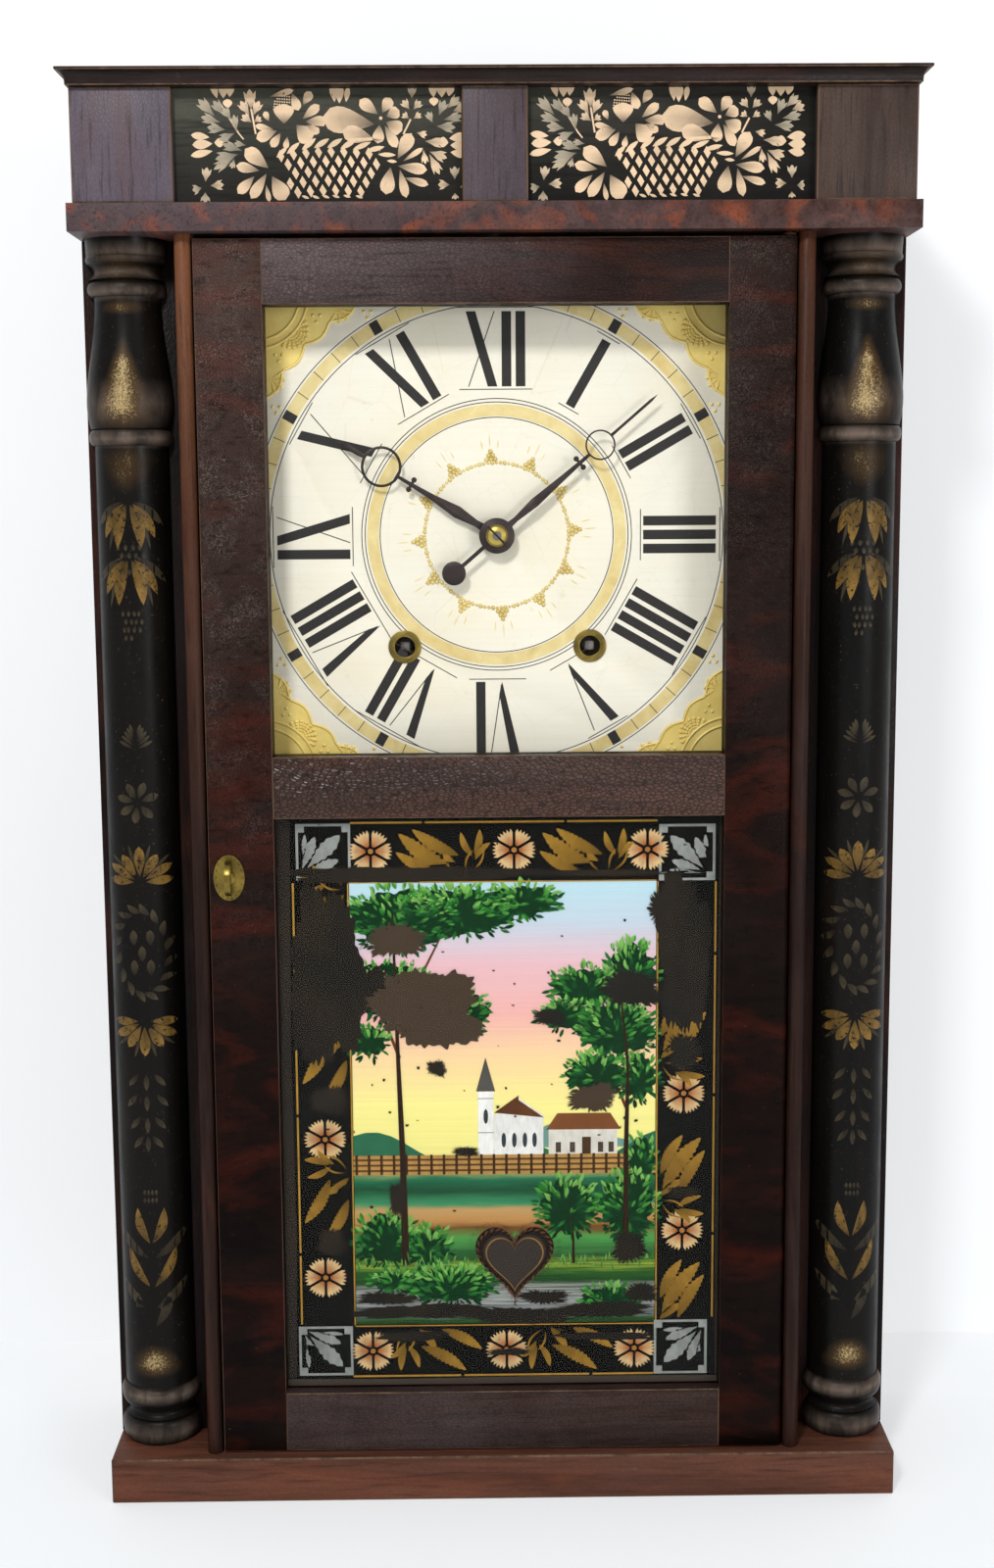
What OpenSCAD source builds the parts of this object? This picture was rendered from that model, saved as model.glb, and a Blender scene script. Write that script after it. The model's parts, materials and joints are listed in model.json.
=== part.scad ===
// Half-column and cornice shelf clock with a 30-hour weight-driven wooden movement.
// X runs to the right, Y runs into the case and Z runs up from the underside of the base.
// Depths are measured from the front face of the stile boards that carry the columns,
// and grow into the case; in_case() carries them to the middle of the whole clock.

/* [Case] */
// Width of the base, the sides and the cornice board
case_w = 448; // [440:1:470]
// Depth from the front of the stile boards to the back of the case
case_depth = 94; // [92:1:120]
// Height between the base and the cornice board
body_h = 681.5; // [670:0.5:720]
// Height of the base plinth
base_h = 26; // [20:1:40]
// How far the base stands in front of the stile boards
base_reach = 38; // [35:1:50]
// Thickness of the side boards, the bottom board and the plinth's side returns
board_t = 12; // [9:0.5:14]
// Width of each stile board
stile_w = 54; // [51:0.5:58]
// Thickness of each stile board
stile_t = 16; // [12:0.5:18]
// Width of each rounded bead strip beside the door
bead_w = 9; // [7:0.5:10]
// How far the bead strips stand in front of the stile boards
bead_reach = 32; // [30:0.5:34]
// Thickness of the back boards
back_t = 8; // [6:0.5:9]
// Shrinkage gap between the back boards
back_gap = 0.6; // [0.4:0.1:0.9]

/* [Cornice] */
// Thickness of the cornice board
cornice_t = 14.5; // [10:0.5:20]
// How far the cornice board stands in front of the stile boards
cornice_reach = 39.5; // [39:0.5:44]
// Height of the frieze between the cornice board and the cap
frieze_h = 58.5; // [45:0.5:80]
// Width of the two end blocks
end_block_w = 53; // [40:1:65]
// Width of the centre block
centre_block_w = 34.5; // [25:0.5:50]
// How far the blocks stand back from the ends of the cornice board
block_inset = 3; // [1:0.5:6]
// How far the block faces stand in front of the stile boards
block_reach = 38; // [34:0.5:39]
// How far the painted panels stand behind the block faces
panel_set_back = 6; // [3:0.5:9]
// Thickness of the frieze board and the frieze sides
frieze_t = 10; // [8:0.5:12]
// Thickness of the cap board
cap_t = 8.5; // [7:0.5:14]
// How far the cap stands in front of the stile boards
cap_reach = 46.5; // [44:0.5:52]
// How far the cap stands out past the cornice board at each side
cap_overhang = 2.5; // [1:0.5:8]

/* [Columns] */
// Radius of the collar under the cornice
collar_r = 22; // [20:0.1:22.6]
// Radius of the neck between collar and upper ring
neck_r = 17.6; // [15:0.1:19]
// Largest radius of the vase turning
vase_r = 23.7; // [22.5:0.1:24.5]
// Smallest radius of the vase turning, at its top
vase_top_r = 18.2; // [16:0.1:20]
// Radius of the three rings and the foot
ring_r = 23; // [21.5:0.1:23.2]
// Radius of the long shaft at its top
shaft_top_r = 20.2; // [18:0.1:21]
// Radius of the long shaft at its foot
shaft_foot_r = 20.5; // [18:0.1:21]
// Height of the capital: collar, neck and upper ring
capital_h = 30.5; // [26:0.5:36]
// Height of the vase turning
vase_h = 70; // [55:0.5:85]
// Height of the ring under the vase
ring_h = 9.2; // [7:0.1:12]
// Height of the foot: ring, cove and torus
foot_h = 35.9; // [30:0.1:42]

/* [Door] */
// Thickness of the door frame
door_t = 20; // [18:0.5:22]
// How far the door face lies behind the bead noses
door_set_back = 1; // [0.5:0.1:2]
// Gap between the door and the bead strips
door_side_gap = 1; // [0.9:0.1:1.5]
// Gap under the door
door_foot_gap = 1.2; // [0.8:0.1:2]
// Gap over the door, where the upper hinge nail's head lies
door_head_gap = 2.8; // [2.2:0.1:4]
// Width of the two door stiles
door_stile_w = 36; // [32:0.5:40]
// Height of the top rail
top_rail_h = 34; // [28:0.5:40]
// Height of the middle rail
middle_rail_h = 34; // [26:0.5:40]
// Height of the bottom rail
bottom_rail_h = 34.6; // [28:0.1:44]
// Height of the upper opening, in front of the dial
dial_open_h = 241.9; // [225:0.1:255]
// Depth of the door's front lip in front of the glass
lip_t = 8; // [6:0.5:9]
// Width of the rabbet that the glass lies in
rabbet_w = 5; // [4:0.5:7]
// Thickness of both panes
glass_t = 2; // [1.5:0.1:3]
// Depth of the wooden glazing strips
strip_t = 7; // [5:0.5:8]
// Radius of the hinge nails
hinge_r = 1.3; // [1:0.05:1.8]
// Distance from the hinge axis to the door's edge
hinge_inset = 4; // [3.6:0.1:4.4]
// Height of the latch above the middle of the door
latch_drop = 3.5; // [0:0.5:20]
// Distance of the latch from the door's left edge
latch_inset = 11; // [10.5:0.1:14]

/* [Dial] */
// Gap between the dial board and the bead strips
dial_side_gap = 2; // [1:0.5:4]
// How far the dial board runs past the upper opening, above and below
dial_margin = 29.05; // [22:0.05:30]
// Thickness of the dial board
dial_t = 5; // [4:0.1:6]
// Depth of the dial's painted face
dial_face = 4.2; // [3:0.1:5]
// How far the dial centre lies under the middle of the upper opening
dial_drop = 1.8; // [0:0.1:4]
// Radius of the hole in the middle of the dial
dial_hole_r = 6.5; // [5.5:0.1:9]
// Radius of the winding holes inside their brass grommets
winding_hole_r = 5.7; // [4.5:0.1:6.5]
// Outer radius of the grommets
grommet_r = 9.2; // [8.2:0.1:12]

/* [Hands] */
// Length of the minute hand from its centre
minute_len = 117; // [100:1:119]
// Length of the hour hand from its centre
hour_len = 101.5; // [85:0.5:110]
// Where the minute hand's ring lies along it
minute_ring_at = 75.4; // [70:0.1:85]
// Where the hour hand's ring lies along it
hour_ring_at = 74; // [68:0.1:78]
// Outer radius of the minute hand's ring
minute_ring_r = 8.3; // [6:0.1:10]
// Outer radius of the hour hand's ring
hour_ring_r = 11.2; // [8:0.1:13]
// Thickness of both hands
hand_t = 0.8; // [0.6:0.1:1.2]
// Angle of the minute hand, clockwise from the top
minute_angle = 49.3; // [0:0.1:359]
// Angle of the hour hand, clockwise from the top
hour_angle = 301; // [0:0.1:359]

/* [Movement] */
// Depth of the front plate's front face
plate_front = 24; // [23.6:0.1:25]
// Thickness of both plates
plate_t = 6; // [5:0.1:6]
// Thickness of the battens between the back plate and the back boards
batten_t = 4; // [3:0.5:8]
// Width of the plates
plate_w = 190; // [186:1:200]
// Height of the plates above the dial centre
plate_up = 95; // [93:1:97]
// Depth of the plates below the dial centre
plate_down = 117; // [112:1:122]
// Distance of the winding arbors from the middle
winding_x = 51.8; // [50.8:0.1:53]
// Distance of the winding arbors under the dial centre
winding_drop = 61.6; // [61:0.1:62.4]
// Teeth of the great wheels
great_teeth = 54; // [50:2:54]
// Module of the great wheels
great_module = 1.5; // [1.48:0.01:1.52]
// Leaves of the pinions
pinion_leaves = 8; // [8:1:8]
// Teeth of the hour arbor's wheel
hour_arbor_teeth = 72; // [68:2:72]
// Teeth of the third wheel
third_teeth = 74; // [70:2:74]
// Teeth of the escape wheel
escape_teeth = 42; // [36:2:44]
// Outer radius of the escape wheel
escape_r = 26; // [24:0.5:27]
// Length of the pendulum from its suspension to the middle of the bob
pendulum_len = 263; // [255:1:280]
// Radius of the pendulum bob
bob_r = 20; // [16:0.5:24]
// How far the bell keeps inside the depth between the front plate and the back boards
bell_clear = 3; // [2:0.5:6]
// Radius of the drum barrels that the cords wind on
drum_r = 14; // [12:0.5:15]

/* [Weights] */
// Radius of the iron weights
weight_r = 27; // [22:0.5:28]
// Height of the iron weights without their hooks
weight_h = 130; // [100:1:150]
// Radius of the pulleys at the bottom of their grooves
pulley_r = 15; // [13:0.5:17]
// Radius of the cord
cord_r = 0.9; // [0.7:0.05:1.1]

/* [Hidden] */
$fn = 64;

// Fits
running = 0.05;   // radial clearance of an arbor in its hole
seat = 0.02;      // radial clearance of a fixed pin in its hole
free = 0.3;       // gap between pieces that only lie close

// Case
face_y = (cap_reach - case_depth) / 2;
half_w = case_w / 2;
body_z0 = base_h;
body_z1 = base_h + body_h;
frieze_z0 = body_z1 + cornice_t;
frieze_z1 = frieze_z0 + frieze_h;
stile_in = half_w - stile_w;
bead_in = stile_in - bead_w;
back_d = case_depth - back_t;
column_x = half_w - max(vase_r, ring_r) - free;

// Door
door_half = bead_in - door_side_gap;
door_front = -bead_reach + door_set_back;
door_back = door_front + door_t;
door_z0 = body_z0 + door_foot_gap;
door_z1 = body_z1 - door_head_gap;
open_half = door_half - door_stile_w;
dial_open_z1 = door_z1 - top_rail_h;
dial_open_z0 = dial_open_z1 - dial_open_h;
tablet_z0 = door_z0 + bottom_rail_h;
tablet_z1 = dial_open_z0 - middle_rail_h;
glass_front = door_front + lip_t;
glass_fit = 0.2;
hinge_x = door_half - hinge_inset;
hinge_round = hinge_inset + door_side_gap - 0.4;
hinge_d = door_front + hinge_round;
hinge_len = 9;
nail_head_r = 3.6;
nail_head_t = 1.2;
nail_head_z = door_z1 + (door_head_gap - nail_head_t) / 2;
latch_x = -door_half + latch_inset;
latch_z = (door_z0 + door_z1) / 2 - latch_drop;
spindle_r = 2;
tongue_len = latch_inset + door_side_gap + 6;
tongue_w = 6;
tongue_t = 2;
tongue_front = door_back + free;

// Dial and movement centre
dial_w = 2 * (bead_in - dial_side_gap);
dial_h = dial_open_h + 2 * dial_margin;
dial_z = (dial_open_z0 + dial_open_z1) / 2 - dial_drop;
dial_z0 = dial_z - dial_h / 2;
dial_z1 = dial_z + dial_h / 2;
dial_back = dial_face + dial_t;
strip_lap = 11;   // how far the upright strips reach behind the dial
strip_in = dial_w / 2 - strip_lap;
plate_gap = back_d - batten_t - plate_t - plate_t - plate_front;
plate_back0 = plate_front + plate_t + plate_gap;
plate_back1 = plate_back0 + plate_t;
inside = plate_front + plate_t;

// Trains: places are [x, rise above the dial centre]
function polar(r, a) = [r * cos(a), r * sin(a)];
function angle_to(a, b) = atan2(b[1] - a[1], b[0] - a[0]);
// The place at distance da from a and db from b, on the left of the way from a to b
function meet(a, b, da, db) =
    let (l = norm(b - a), along = (da * da - db * db + l * l) / (2 * l))
    a + (b - a) / l * along
    + [a[1] - b[1], b[0] - a[0]] / l * sqrt(max(0, da * da - along * along));
function pitch_r(teeth, m) = teeth * m / 2;

arbor_r = 3;
pivot_r = 1.2;
centre = [0, 0];
time_great = [winding_x, -winding_drop];
strike_great = [-winding_x, -winding_drop];
great_span = pitch_r(great_teeth + pinion_leaves, great_module);
motion_teeth = 24;
motion_span = 36.96;
motion_module = motion_span / motion_teeth;
hour_pinion_leaves = 6;
hour_wheel_teeth = 72;
hour_module = 2 * motion_span / (hour_pinion_leaves + hour_wheel_teeth);
hour_at = meet(centre, time_great, motion_span, great_span);
hour_arbor_module = 1.05;
third_module = 0.95;
escape_at = [-14, 44];
hour_third_span = pitch_r(hour_arbor_teeth + pinion_leaves, hour_arbor_module);
third_escape_span = pitch_r(third_teeth + pinion_leaves, third_module);
third_at = meet(escape_at, hour_at, third_escape_span, hour_third_span);
verge_at = [escape_at[0], escape_at[1] + escape_r + 9];

pin_at = [-hour_at[0], hour_at[1]];
pin_teeth = 48;
pin_module = 1;
warning_teeth = 40;
warning_module = 0.9;
fly_leaves = 6;
warning_at = pin_at + polar(pitch_r(pin_teeth + pinion_leaves, pin_module), 110);
fly_at = warning_at + polar(pitch_r(warning_teeth + fly_leaves, warning_module), 100);
hammer_at = [-75, -5];
lift_pins = 8;
lift_pin_r = 1.2;
lift_ring_r = 21;
lift_pin_len = 5;

// Depths of the wheels, counted from the inner face of the front plate: each lies at a
// share of the gap between the plates and has a thickness of its own
escape_lie = [plate_gap * 0.13, 3];
warning_lie = [plate_gap * 0.26, 4];
third_lie = [plate_gap * 0.452, 3.2];
pin_wheel_lie = [plate_gap * 0.552, 3.4];
great_lie = [plate_gap * 0.652, 6];
hour_lie = [plate_gap * 0.848, 4];
ratchet_t = 1.7;
drum_lie = [plate_gap * 0.13, great_lie[0] - ratchet_t - free - plate_gap * 0.13];
square_front = dial_back + 0.2;
square_back = plate_front - 6;
drum_flange_r = drum_r + 6;
flange_t = 2;
cord_d = inside + drum_lie[0] + drum_lie[1] / 2;

// Motion work, in front of the front plate
motion_lie = [plate_front - 4.5, 2.6];
hour_wheel_lie = [plate_front - 8, 2.6];
hour_pinion_d = hour_wheel_lie[0] - 0.8;
cannon_r = 2.5;
hour_pipe_r = 4.5;
hour_hand_d = -2;
minute_hand_d = hour_hand_d - 1.8 - hand_t;
hand_hub_r = 9.8;
rod_d = plate_front - 11.4;
rod_r = 0.8;

// Cords, pulleys and weights
cord_out = 0.3 + cord_r;
pulley_wind_r = pulley_r + cord_out;
drum_wind_r = drum_r + cord_out;
groove_h = 3;
pulley_rim_r = pulley_r + groove_h;
pulley_t = 8;
pulley_rim_t = 1;
pulley_pin_r = 2;
weight_side_gap = 20.5;
pulley_head_gap = 5;
pulley_x = half_w - board_t - weight_r - weight_side_gap - pulley_wind_r;
pulley_z = body_z1 - pulley_rim_r - pulley_head_gap;
fall_x = pulley_x + pulley_wind_r;
weight_z0 = board_t + 6;
weight_top = weight_z0 + weight_h;
hook_r = 5;
hook_wire_r = 1.3;
hook_z = weight_top + 5.5;
fall_z0 = hook_z + hook_r + hook_wire_r + free;

// Bell; its edge stands off the hammer's wire by the grip of the head and a gap
hammer_head = [5, 10];   // radius and length
hammer_grip = 3.5;       // from the wire to the end of the head at the bell
hammer_gap = 1.5;
bell_r = (back_d - plate_front) / 2 - bell_clear;
bell_x = hammer_at[0] + hammer_grip + hammer_gap + bell_r;
bell_d = (back_d + plate_front) / 2 - 2;
bell_z = dial_z + plate_up + 7;
bell_h = 32;
bell_t = 2;
bell_lip = 5;
bell_bolt_r = 2.5;

// Colours
mahogany = [0.20, 0.09, 0.07];
pine = [0.55, 0.40, 0.25];
ebony = [0.07, 0.06, 0.05];
oak = [0.50, 0.34, 0.20];
cherry = [0.48, 0.24, 0.13];
brass = [0.75, 0.60, 0.28];
steel = [0.30, 0.27, 0.26];
iron = [0.20, 0.19, 0.19];
cream = [0.92, 0.90, 0.84];
pane = [0.75, 0.82, 0.80, 0.35];
hemp = [0.62, 0.52, 0.36];

// ---- shared shapes ----

// Carries depths and widths to the frame of the whole clock
module in_case() { translate([0, face_y, 0]) children(); }

// A board between two corners given as [x, depth, z]
module slab(low, high) { translate(low) cube(high - low); }

// The same board on both sides of the clock
module both_sides() {
    children();
    mirror([1, 0, 0]) children();
}

// A flat shape drawn in X and Z, made thick into the case from depth d
module plate_of(d, t) { translate([0, d + t, 0]) rotate([90, 0, 0]) linear_extrude(t) children(); }

// A round bar along the depth, round a place [x, rise above the dial centre]
module bar(at, d0, d1, r) {
    translate([at[0], d1, dial_z + at[1]]) rotate([90, 0, 0]) cylinder(h = d1 - d0, r = r);
}

// A flat shape put round a place of the movement and made thick from depth d
module on_arbor(at, d, t) { translate([0, 0, dial_z]) plate_of(d, t) translate(at) children(); }

// Outline of a toothed wheel: each tooth runs from root to tip and back
module toothed(teeth, root_r, mid_r, tip_r, root_w, mid_w, tip_w, turn) {
    step = 360 / teeth;
    polygon([for (i = [0:teeth - 1], k = [[root_r, -root_w], [mid_r, -mid_w], [tip_r, -tip_w],
                                          [tip_r, tip_w], [mid_r, mid_w], [root_r, root_w]])
        polar(k[0], turn + (i + k[1]) * step)]);
}

// A wheel with rounded wooden teeth; turn is where the middle of a tooth points
module wheel(teeth, m, turn) {
    r = pitch_r(teeth, m);
    toothed(teeth, r - 1.2 * m, r, r + 0.85 * m, 0.25, 0.19, 0.08, turn);
}

// A pinion with slender leaves; turn is where the middle of a gap points
module pinion(leaves, m, turn) {
    r = pitch_r(leaves, m);
    toothed(leaves, r - 1.15 * m, r, r + 0.6 * m, 0.17, 0.16, 0.07, turn + 180 / leaves);
}

// A wheel with raked teeth, each with a steep front and a long sloping back
module saw_toothed(teeth, root_r, tip_r) {
    step = 360 / teeth;
    polygon([for (i = [0:teeth - 1], k = [[root_r, 0], [tip_r, 0.12], [tip_r, 0.2], [root_r, 0.8]])
        polar(k[0], (i + k[1]) * step)]);
}

// Wooden arbor between the plates, with a steel pivot in each plate
module arbor(at, r = arbor_r) {
    bar(at, inside + free, plate_back0 - free, r);
    bar(at, plate_front, plate_back1, pivot_r);
}

// ---- case ----

module base_plinth() in_case() color(mahogany) {
    difference() {
        slab([-half_w, -base_reach, 0], [half_w, stile_t, base_h]);
        translate([hinge_x, hinge_d, base_h - hinge_len]) cylinder(h = base_h, r = hinge_r + seat);
    }
    both_sides() slab([half_w - board_t, stile_t, 0], [half_w, case_depth, base_h]);
}

module bottom_board() in_case() color(pine) {
    slab([-half_w + board_t, stile_t, 0], [half_w - board_t, back_d, board_t]);
}

module side_boards() in_case() color(mahogany) {
    both_sides() slab([half_w - board_t, stile_t, body_z0], [half_w, case_depth, body_z1]);
}

module stile_boards() in_case() color(mahogany) {
    both_sides() slab([stile_in, 0, body_z0], [half_w, stile_t, body_z1]);
}

// Bead strips end in a half-round nose; the left one has a slot for the latch tongue
module bead_strips() in_case() color(mahogany) difference() {
    both_sides() {
        slab([bead_in, -bead_reach + bead_w / 2, body_z0], [stile_in, stile_t, body_z1]);
        translate([bead_in + bead_w / 2, -bead_reach + bead_w / 2, body_z0])
            cylinder(h = body_h, r = bead_w / 2);
    }
    slab([latch_x - tongue_len - 1, tongue_front - 1, latch_z - tongue_w / 2 - 2],
         [-bead_in + 1, tongue_front + tongue_t + 1, latch_z + tongue_len]);
}

// Half-round swelling between two heights, drawn outward from radius r0 to r1
function swelling(r0, r1, z0, z1) =
    [for (a = [-90:15:90]) [r0 + (r1 - r0) * cos(a), (z0 + z1) / 2 + (z1 - z0) / 2 * sin(a)]];
// Hollow between two heights, drawn inward from radii ra and rb to r
function hollow(ra, rb, r, z0, z1) =
    [for (a = [0:15:180]) [r + ((a < 90 ? ra : rb) - r) * (1 - sin(a)), z0 + (z1 - z0) * a / 180]];

// The vase swells from its narrow top to its widest place, a fifth of the way up
function vase_radius(t) = t < 0.2
    ? vase_r - (vase_r - ring_r + 1.2) * pow((0.2 - t) / 0.2, 2)
    : vase_top_r + (vase_r - vase_top_r) * (1 + cos(180 * pow((t - 0.2) / 0.8, 0.85))) / 2;

module column_turning() {
    foot_z = body_z0;
    shaft_z0 = foot_z + foot_h;
    collar_z = body_z1 - capital_h;
    vase_z = collar_z - vase_h;
    shaft_z1 = vase_z - ring_h;
    rotate_extrude($fn = 96) polygon(concat(
        [[0, foot_z], [ring_r - 3, foot_z]],
        swelling(ring_r - 3, ring_r, foot_z, foot_z + foot_h * 0.41),
        hollow(ring_r - 2, ring_r - 3, ring_r - 4.2, foot_z + foot_h * 0.43, foot_z + foot_h * 0.6),
        swelling(ring_r - 3, ring_r, foot_z + foot_h * 0.61, shaft_z0 - foot_h * 0.06),
        [[shaft_foot_r, shaft_z0], [shaft_top_r, shaft_z1 - 1]],
        swelling(shaft_top_r, ring_r, shaft_z1, vase_z),
        [for (t = [0:1 / 24:1]) [vase_radius(t), vase_z + vase_h * t]],
        swelling(vase_top_r, ring_r - 1.5, collar_z, collar_z + capital_h * 0.28),
        hollow(ring_r - 2.2, collar_r - 0.6, neck_r, collar_z + capital_h * 0.3, collar_z + capital_h * 0.58),
        swelling(collar_r - 0.6, collar_r, collar_z + capital_h * 0.6, collar_z + capital_h * 0.7),
        [[collar_r - 0.5, collar_z + capital_h * 0.72], [collar_r, body_z1], [0, body_z1]]));
}

// Columns are turned whole and sawn flat where they lie on the stile boards
module half_column() {
    intersection() {
        translate([column_x, 0, 0]) column_turning();
        slab([0, -vase_r * 2, 0], [case_w, 0, body_z1 + 1]);
    }
}

module column_left() in_case() color(ebony) mirror([1, 0, 0]) half_column();
module column_right() in_case() color(ebony) half_column();

module cornice_board() in_case() color(mahogany) difference() {
    slab([-half_w, -cornice_reach, body_z1], [half_w, case_depth, frieze_z0]);
    translate([hinge_x, hinge_d, body_z1 - 1]) cylinder(h = hinge_len + 1, r = hinge_r + seat);
}

panel_d = -block_reach + panel_set_back;
block_out = half_w - block_inset;

module frieze_board() in_case() color(ebony) {
    slab([-block_out + end_block_w, panel_d, frieze_z0], [block_out - end_block_w, panel_d + frieze_t, frieze_z1]);
}

module frieze_blocks() in_case() color(mahogany) {
    both_sides() slab([block_out - end_block_w, -block_reach, frieze_z0], [block_out, panel_d + frieze_t, frieze_z1]);
    slab([-centre_block_w / 2, -block_reach, frieze_z0], [centre_block_w / 2, panel_d, frieze_z1]);
}

module frieze_sides() in_case() color(mahogany) {
    both_sides() slab([block_out - frieze_t, panel_d + frieze_t, frieze_z0], [block_out, case_depth, frieze_z1]);
}

// Edge of the cap: a fillet at the top, a cove under it and a small bead at the bottom
cap_out = half_w + cap_overhang;
cap_fillet = 1.6;
cap_bead = 1.4;
cap_step = cap_out - block_out;
cap_foot = cap_step * 0.2;    // how far the bead stands in front of the blocks
cap_hollow = cap_step * 0.7;  // how far the cove reaches out from the bead
function cap_edge(z0) = concat(
    [[0, z0], [cap_foot, z0], [cap_foot, z0 + cap_bead]],
    [for (a = [0:15:90]) [cap_foot + cap_hollow * (1 - cos(a)), z0 + cap_bead + (cap_t - cap_fillet - cap_bead) * sin(a)]],
    [[cap_step, z0 + cap_t - cap_fillet], [cap_step, z0 + cap_t], [0, z0 + cap_t]]);

// The moulded edge runs round the front and returns along both sides with mitres
module cap_board() in_case() color(mahogany) {
    z = frieze_z1;
    front = cap_reach - cap_step;
    slab([-block_out, -front, z], [block_out, case_depth, z + cap_t]);
    both_sides() translate([block_out, case_depth, 0]) rotate([90, 0, 0])
        linear_extrude(case_depth + front) polygon(cap_edge(z));
    translate([-block_out, -front, 0]) rotate([90, 0, -90]) mirror([0, 0, 1])
        linear_extrude(2 * block_out) polygon(cap_edge(z));
    both_sides() intersection() {
        translate([block_out - 1, -front, 0]) rotate([90, 0, -90]) mirror([0, 0, 1])
            linear_extrude(cap_step + 1) polygon(cap_edge(z));
        translate([block_out, -front + 1, 0]) rotate([90, 0, 0])
            linear_extrude(cap_step + 1) polygon(cap_edge(z));
    }
}

module back_boards() in_case() color(pine) {
    both_sides() slab([back_gap / 2, back_d, 0], [half_w - board_t, case_depth, body_z1]);
    slab([-block_out + frieze_t, back_d, frieze_z0], [block_out - frieze_t, case_depth, frieze_z1]);
}

// ---- dial ----

module dial_board() in_case() color(cream) difference() {
    slab([-dial_w / 2, dial_face, dial_z0], [dial_w / 2, dial_back, dial_z1]);
    bar(centre, dial_face - 1, dial_back + 1, dial_hole_r);
    for (at = [time_great, strike_great]) bar(at, dial_face - 1, dial_back + 1, winding_hole_r + 1.4 + seat);
}

module winding_grommets() in_case() color(brass) difference() {
    for (at = [time_great, strike_great]) {
        bar(at, dial_face - 0.8, dial_face, grommet_r);
        bar(at, dial_face - 0.8, dial_back, winding_hole_r + 1.4);
    }
    for (at = [time_great, strike_great]) bar(at, dial_face - 2, dial_back + 1, winding_hole_r);
}

// Upright strips that the dial lies against, thicker above and below it
strip_over = min(8, body_z1 - dial_z1 - 1);
module dial_strips() in_case() color(pine) {
    both_sides() {
        slab([strip_in, dial_back, dial_z0 - strip_over], [bead_in, stile_t, dial_z1 + strip_over]);
        slab([strip_in, dial_face, dial_z1 + free], [bead_in, dial_back, dial_z1 + strip_over]);
        slab([strip_in, dial_face, dial_z0 - strip_over], [bead_in, dial_back, dial_z0 - free]);
    }
}

// Turn buttons over the dial's edges, each held by a round-headed screw
button_t = 3;
module dial_buttons() in_case() color(cherry) {
    both_sides() for (side = [[dial_z1 + 4, -1], [dial_z0 - 4, 1]]) {
        slab([strip_in + 2, dial_face - button_t, side[0] - (side[1] < 0 ? 9 : 3)],
             [strip_in + 8, dial_face, side[0] + (side[1] < 0 ? 3 : 9)]);
        translate([strip_in + 5, dial_face - button_t, side[0]]) rotate([90, 0, 0]) cylinder(h = 1.2, r = 2.2);
    }
}

// ---- door ----

// Room for the glass and its strips behind the lip, over one opening
module rabbet(z0, z1) {
    slab([-open_half - rabbet_w, glass_front, z0 - rabbet_w], [open_half + rabbet_w, door_back + 1, z1 + rabbet_w]);
}

module rabbets() {
    rabbet(tablet_z0, tablet_z1);
    rabbet(dial_open_z0, dial_open_z1);
}

module door_stile_left() in_case() color(mahogany) difference() {
    slab([-door_half, door_front, door_z0], [-open_half, door_back, door_z1]);
    rabbets();
    translate([latch_x, door_back + 1, latch_z]) rotate([90, 0, 0])
        cylinder(h = door_t + 2, r = spindle_r + running);
}

// The hinge edge is rounded about the nails so that it clears the bead strip
module door_stile_right() in_case() color(mahogany) difference() {
    intersection() {
        slab([open_half, door_front, door_z0], [door_half, door_back, door_z1]);
        union() {
            slab([open_half - 1, door_front - 1, door_z0 - 1], [hinge_x, door_back + 1, door_z1 + 1]);
            slab([open_half - 1, hinge_d, door_z0 - 1], [door_half + 1, door_back + 1, door_z1 + 1]);
            translate([hinge_x, hinge_d, door_z0 - 1]) cylinder(h = door_z1 - door_z0 + 2, r = hinge_round);
        }
    }
    rabbets();
    for (z = [door_z0 - 1, door_z1 - hinge_len])
        translate([hinge_x, hinge_d, z]) cylinder(h = hinge_len + 1, r = hinge_r + running);
}

module door_rail(z0, z1) color(mahogany) difference() {
    slab([-open_half, door_front, z0], [open_half, door_back, z1]);
    rabbets();
}

module door_top_rail() in_case() door_rail(dial_open_z1, door_z1);
module door_middle_rail() in_case() door_rail(tablet_z1, dial_open_z0);
module door_bottom_rail() in_case() door_rail(door_z0, tablet_z0);

module glass_pane(z0, z1) color(pane) {
    reach = rabbet_w - glass_fit;
    slab([-open_half - reach, glass_front, z0 - reach], [open_half + reach, glass_front + glass_t, z1 + reach]);
}

module dial_glass() in_case() glass_pane(dial_open_z0, dial_open_z1);
module tablet_glass() in_case() glass_pane(tablet_z0, tablet_z1);

// Four strips round each pane hold it in its rabbet
module glazing(z0, z1) {
    d0 = glass_front + glass_t;
    d1 = d0 + strip_t;
    out = rabbet_w - glass_fit;
    both_sides() slab([open_half, d0, z0 - out], [open_half + out, d1, z1 + out]);
    for (z = [z0 - out, z1]) slab([-open_half + free, d0, z], [open_half - free, d1, z + out]);
}

module glazing_strips() in_case() color(mahogany) {
    glazing(tablet_z0, tablet_z1);
    glazing(dial_open_z0, dial_open_z1);
}

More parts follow.
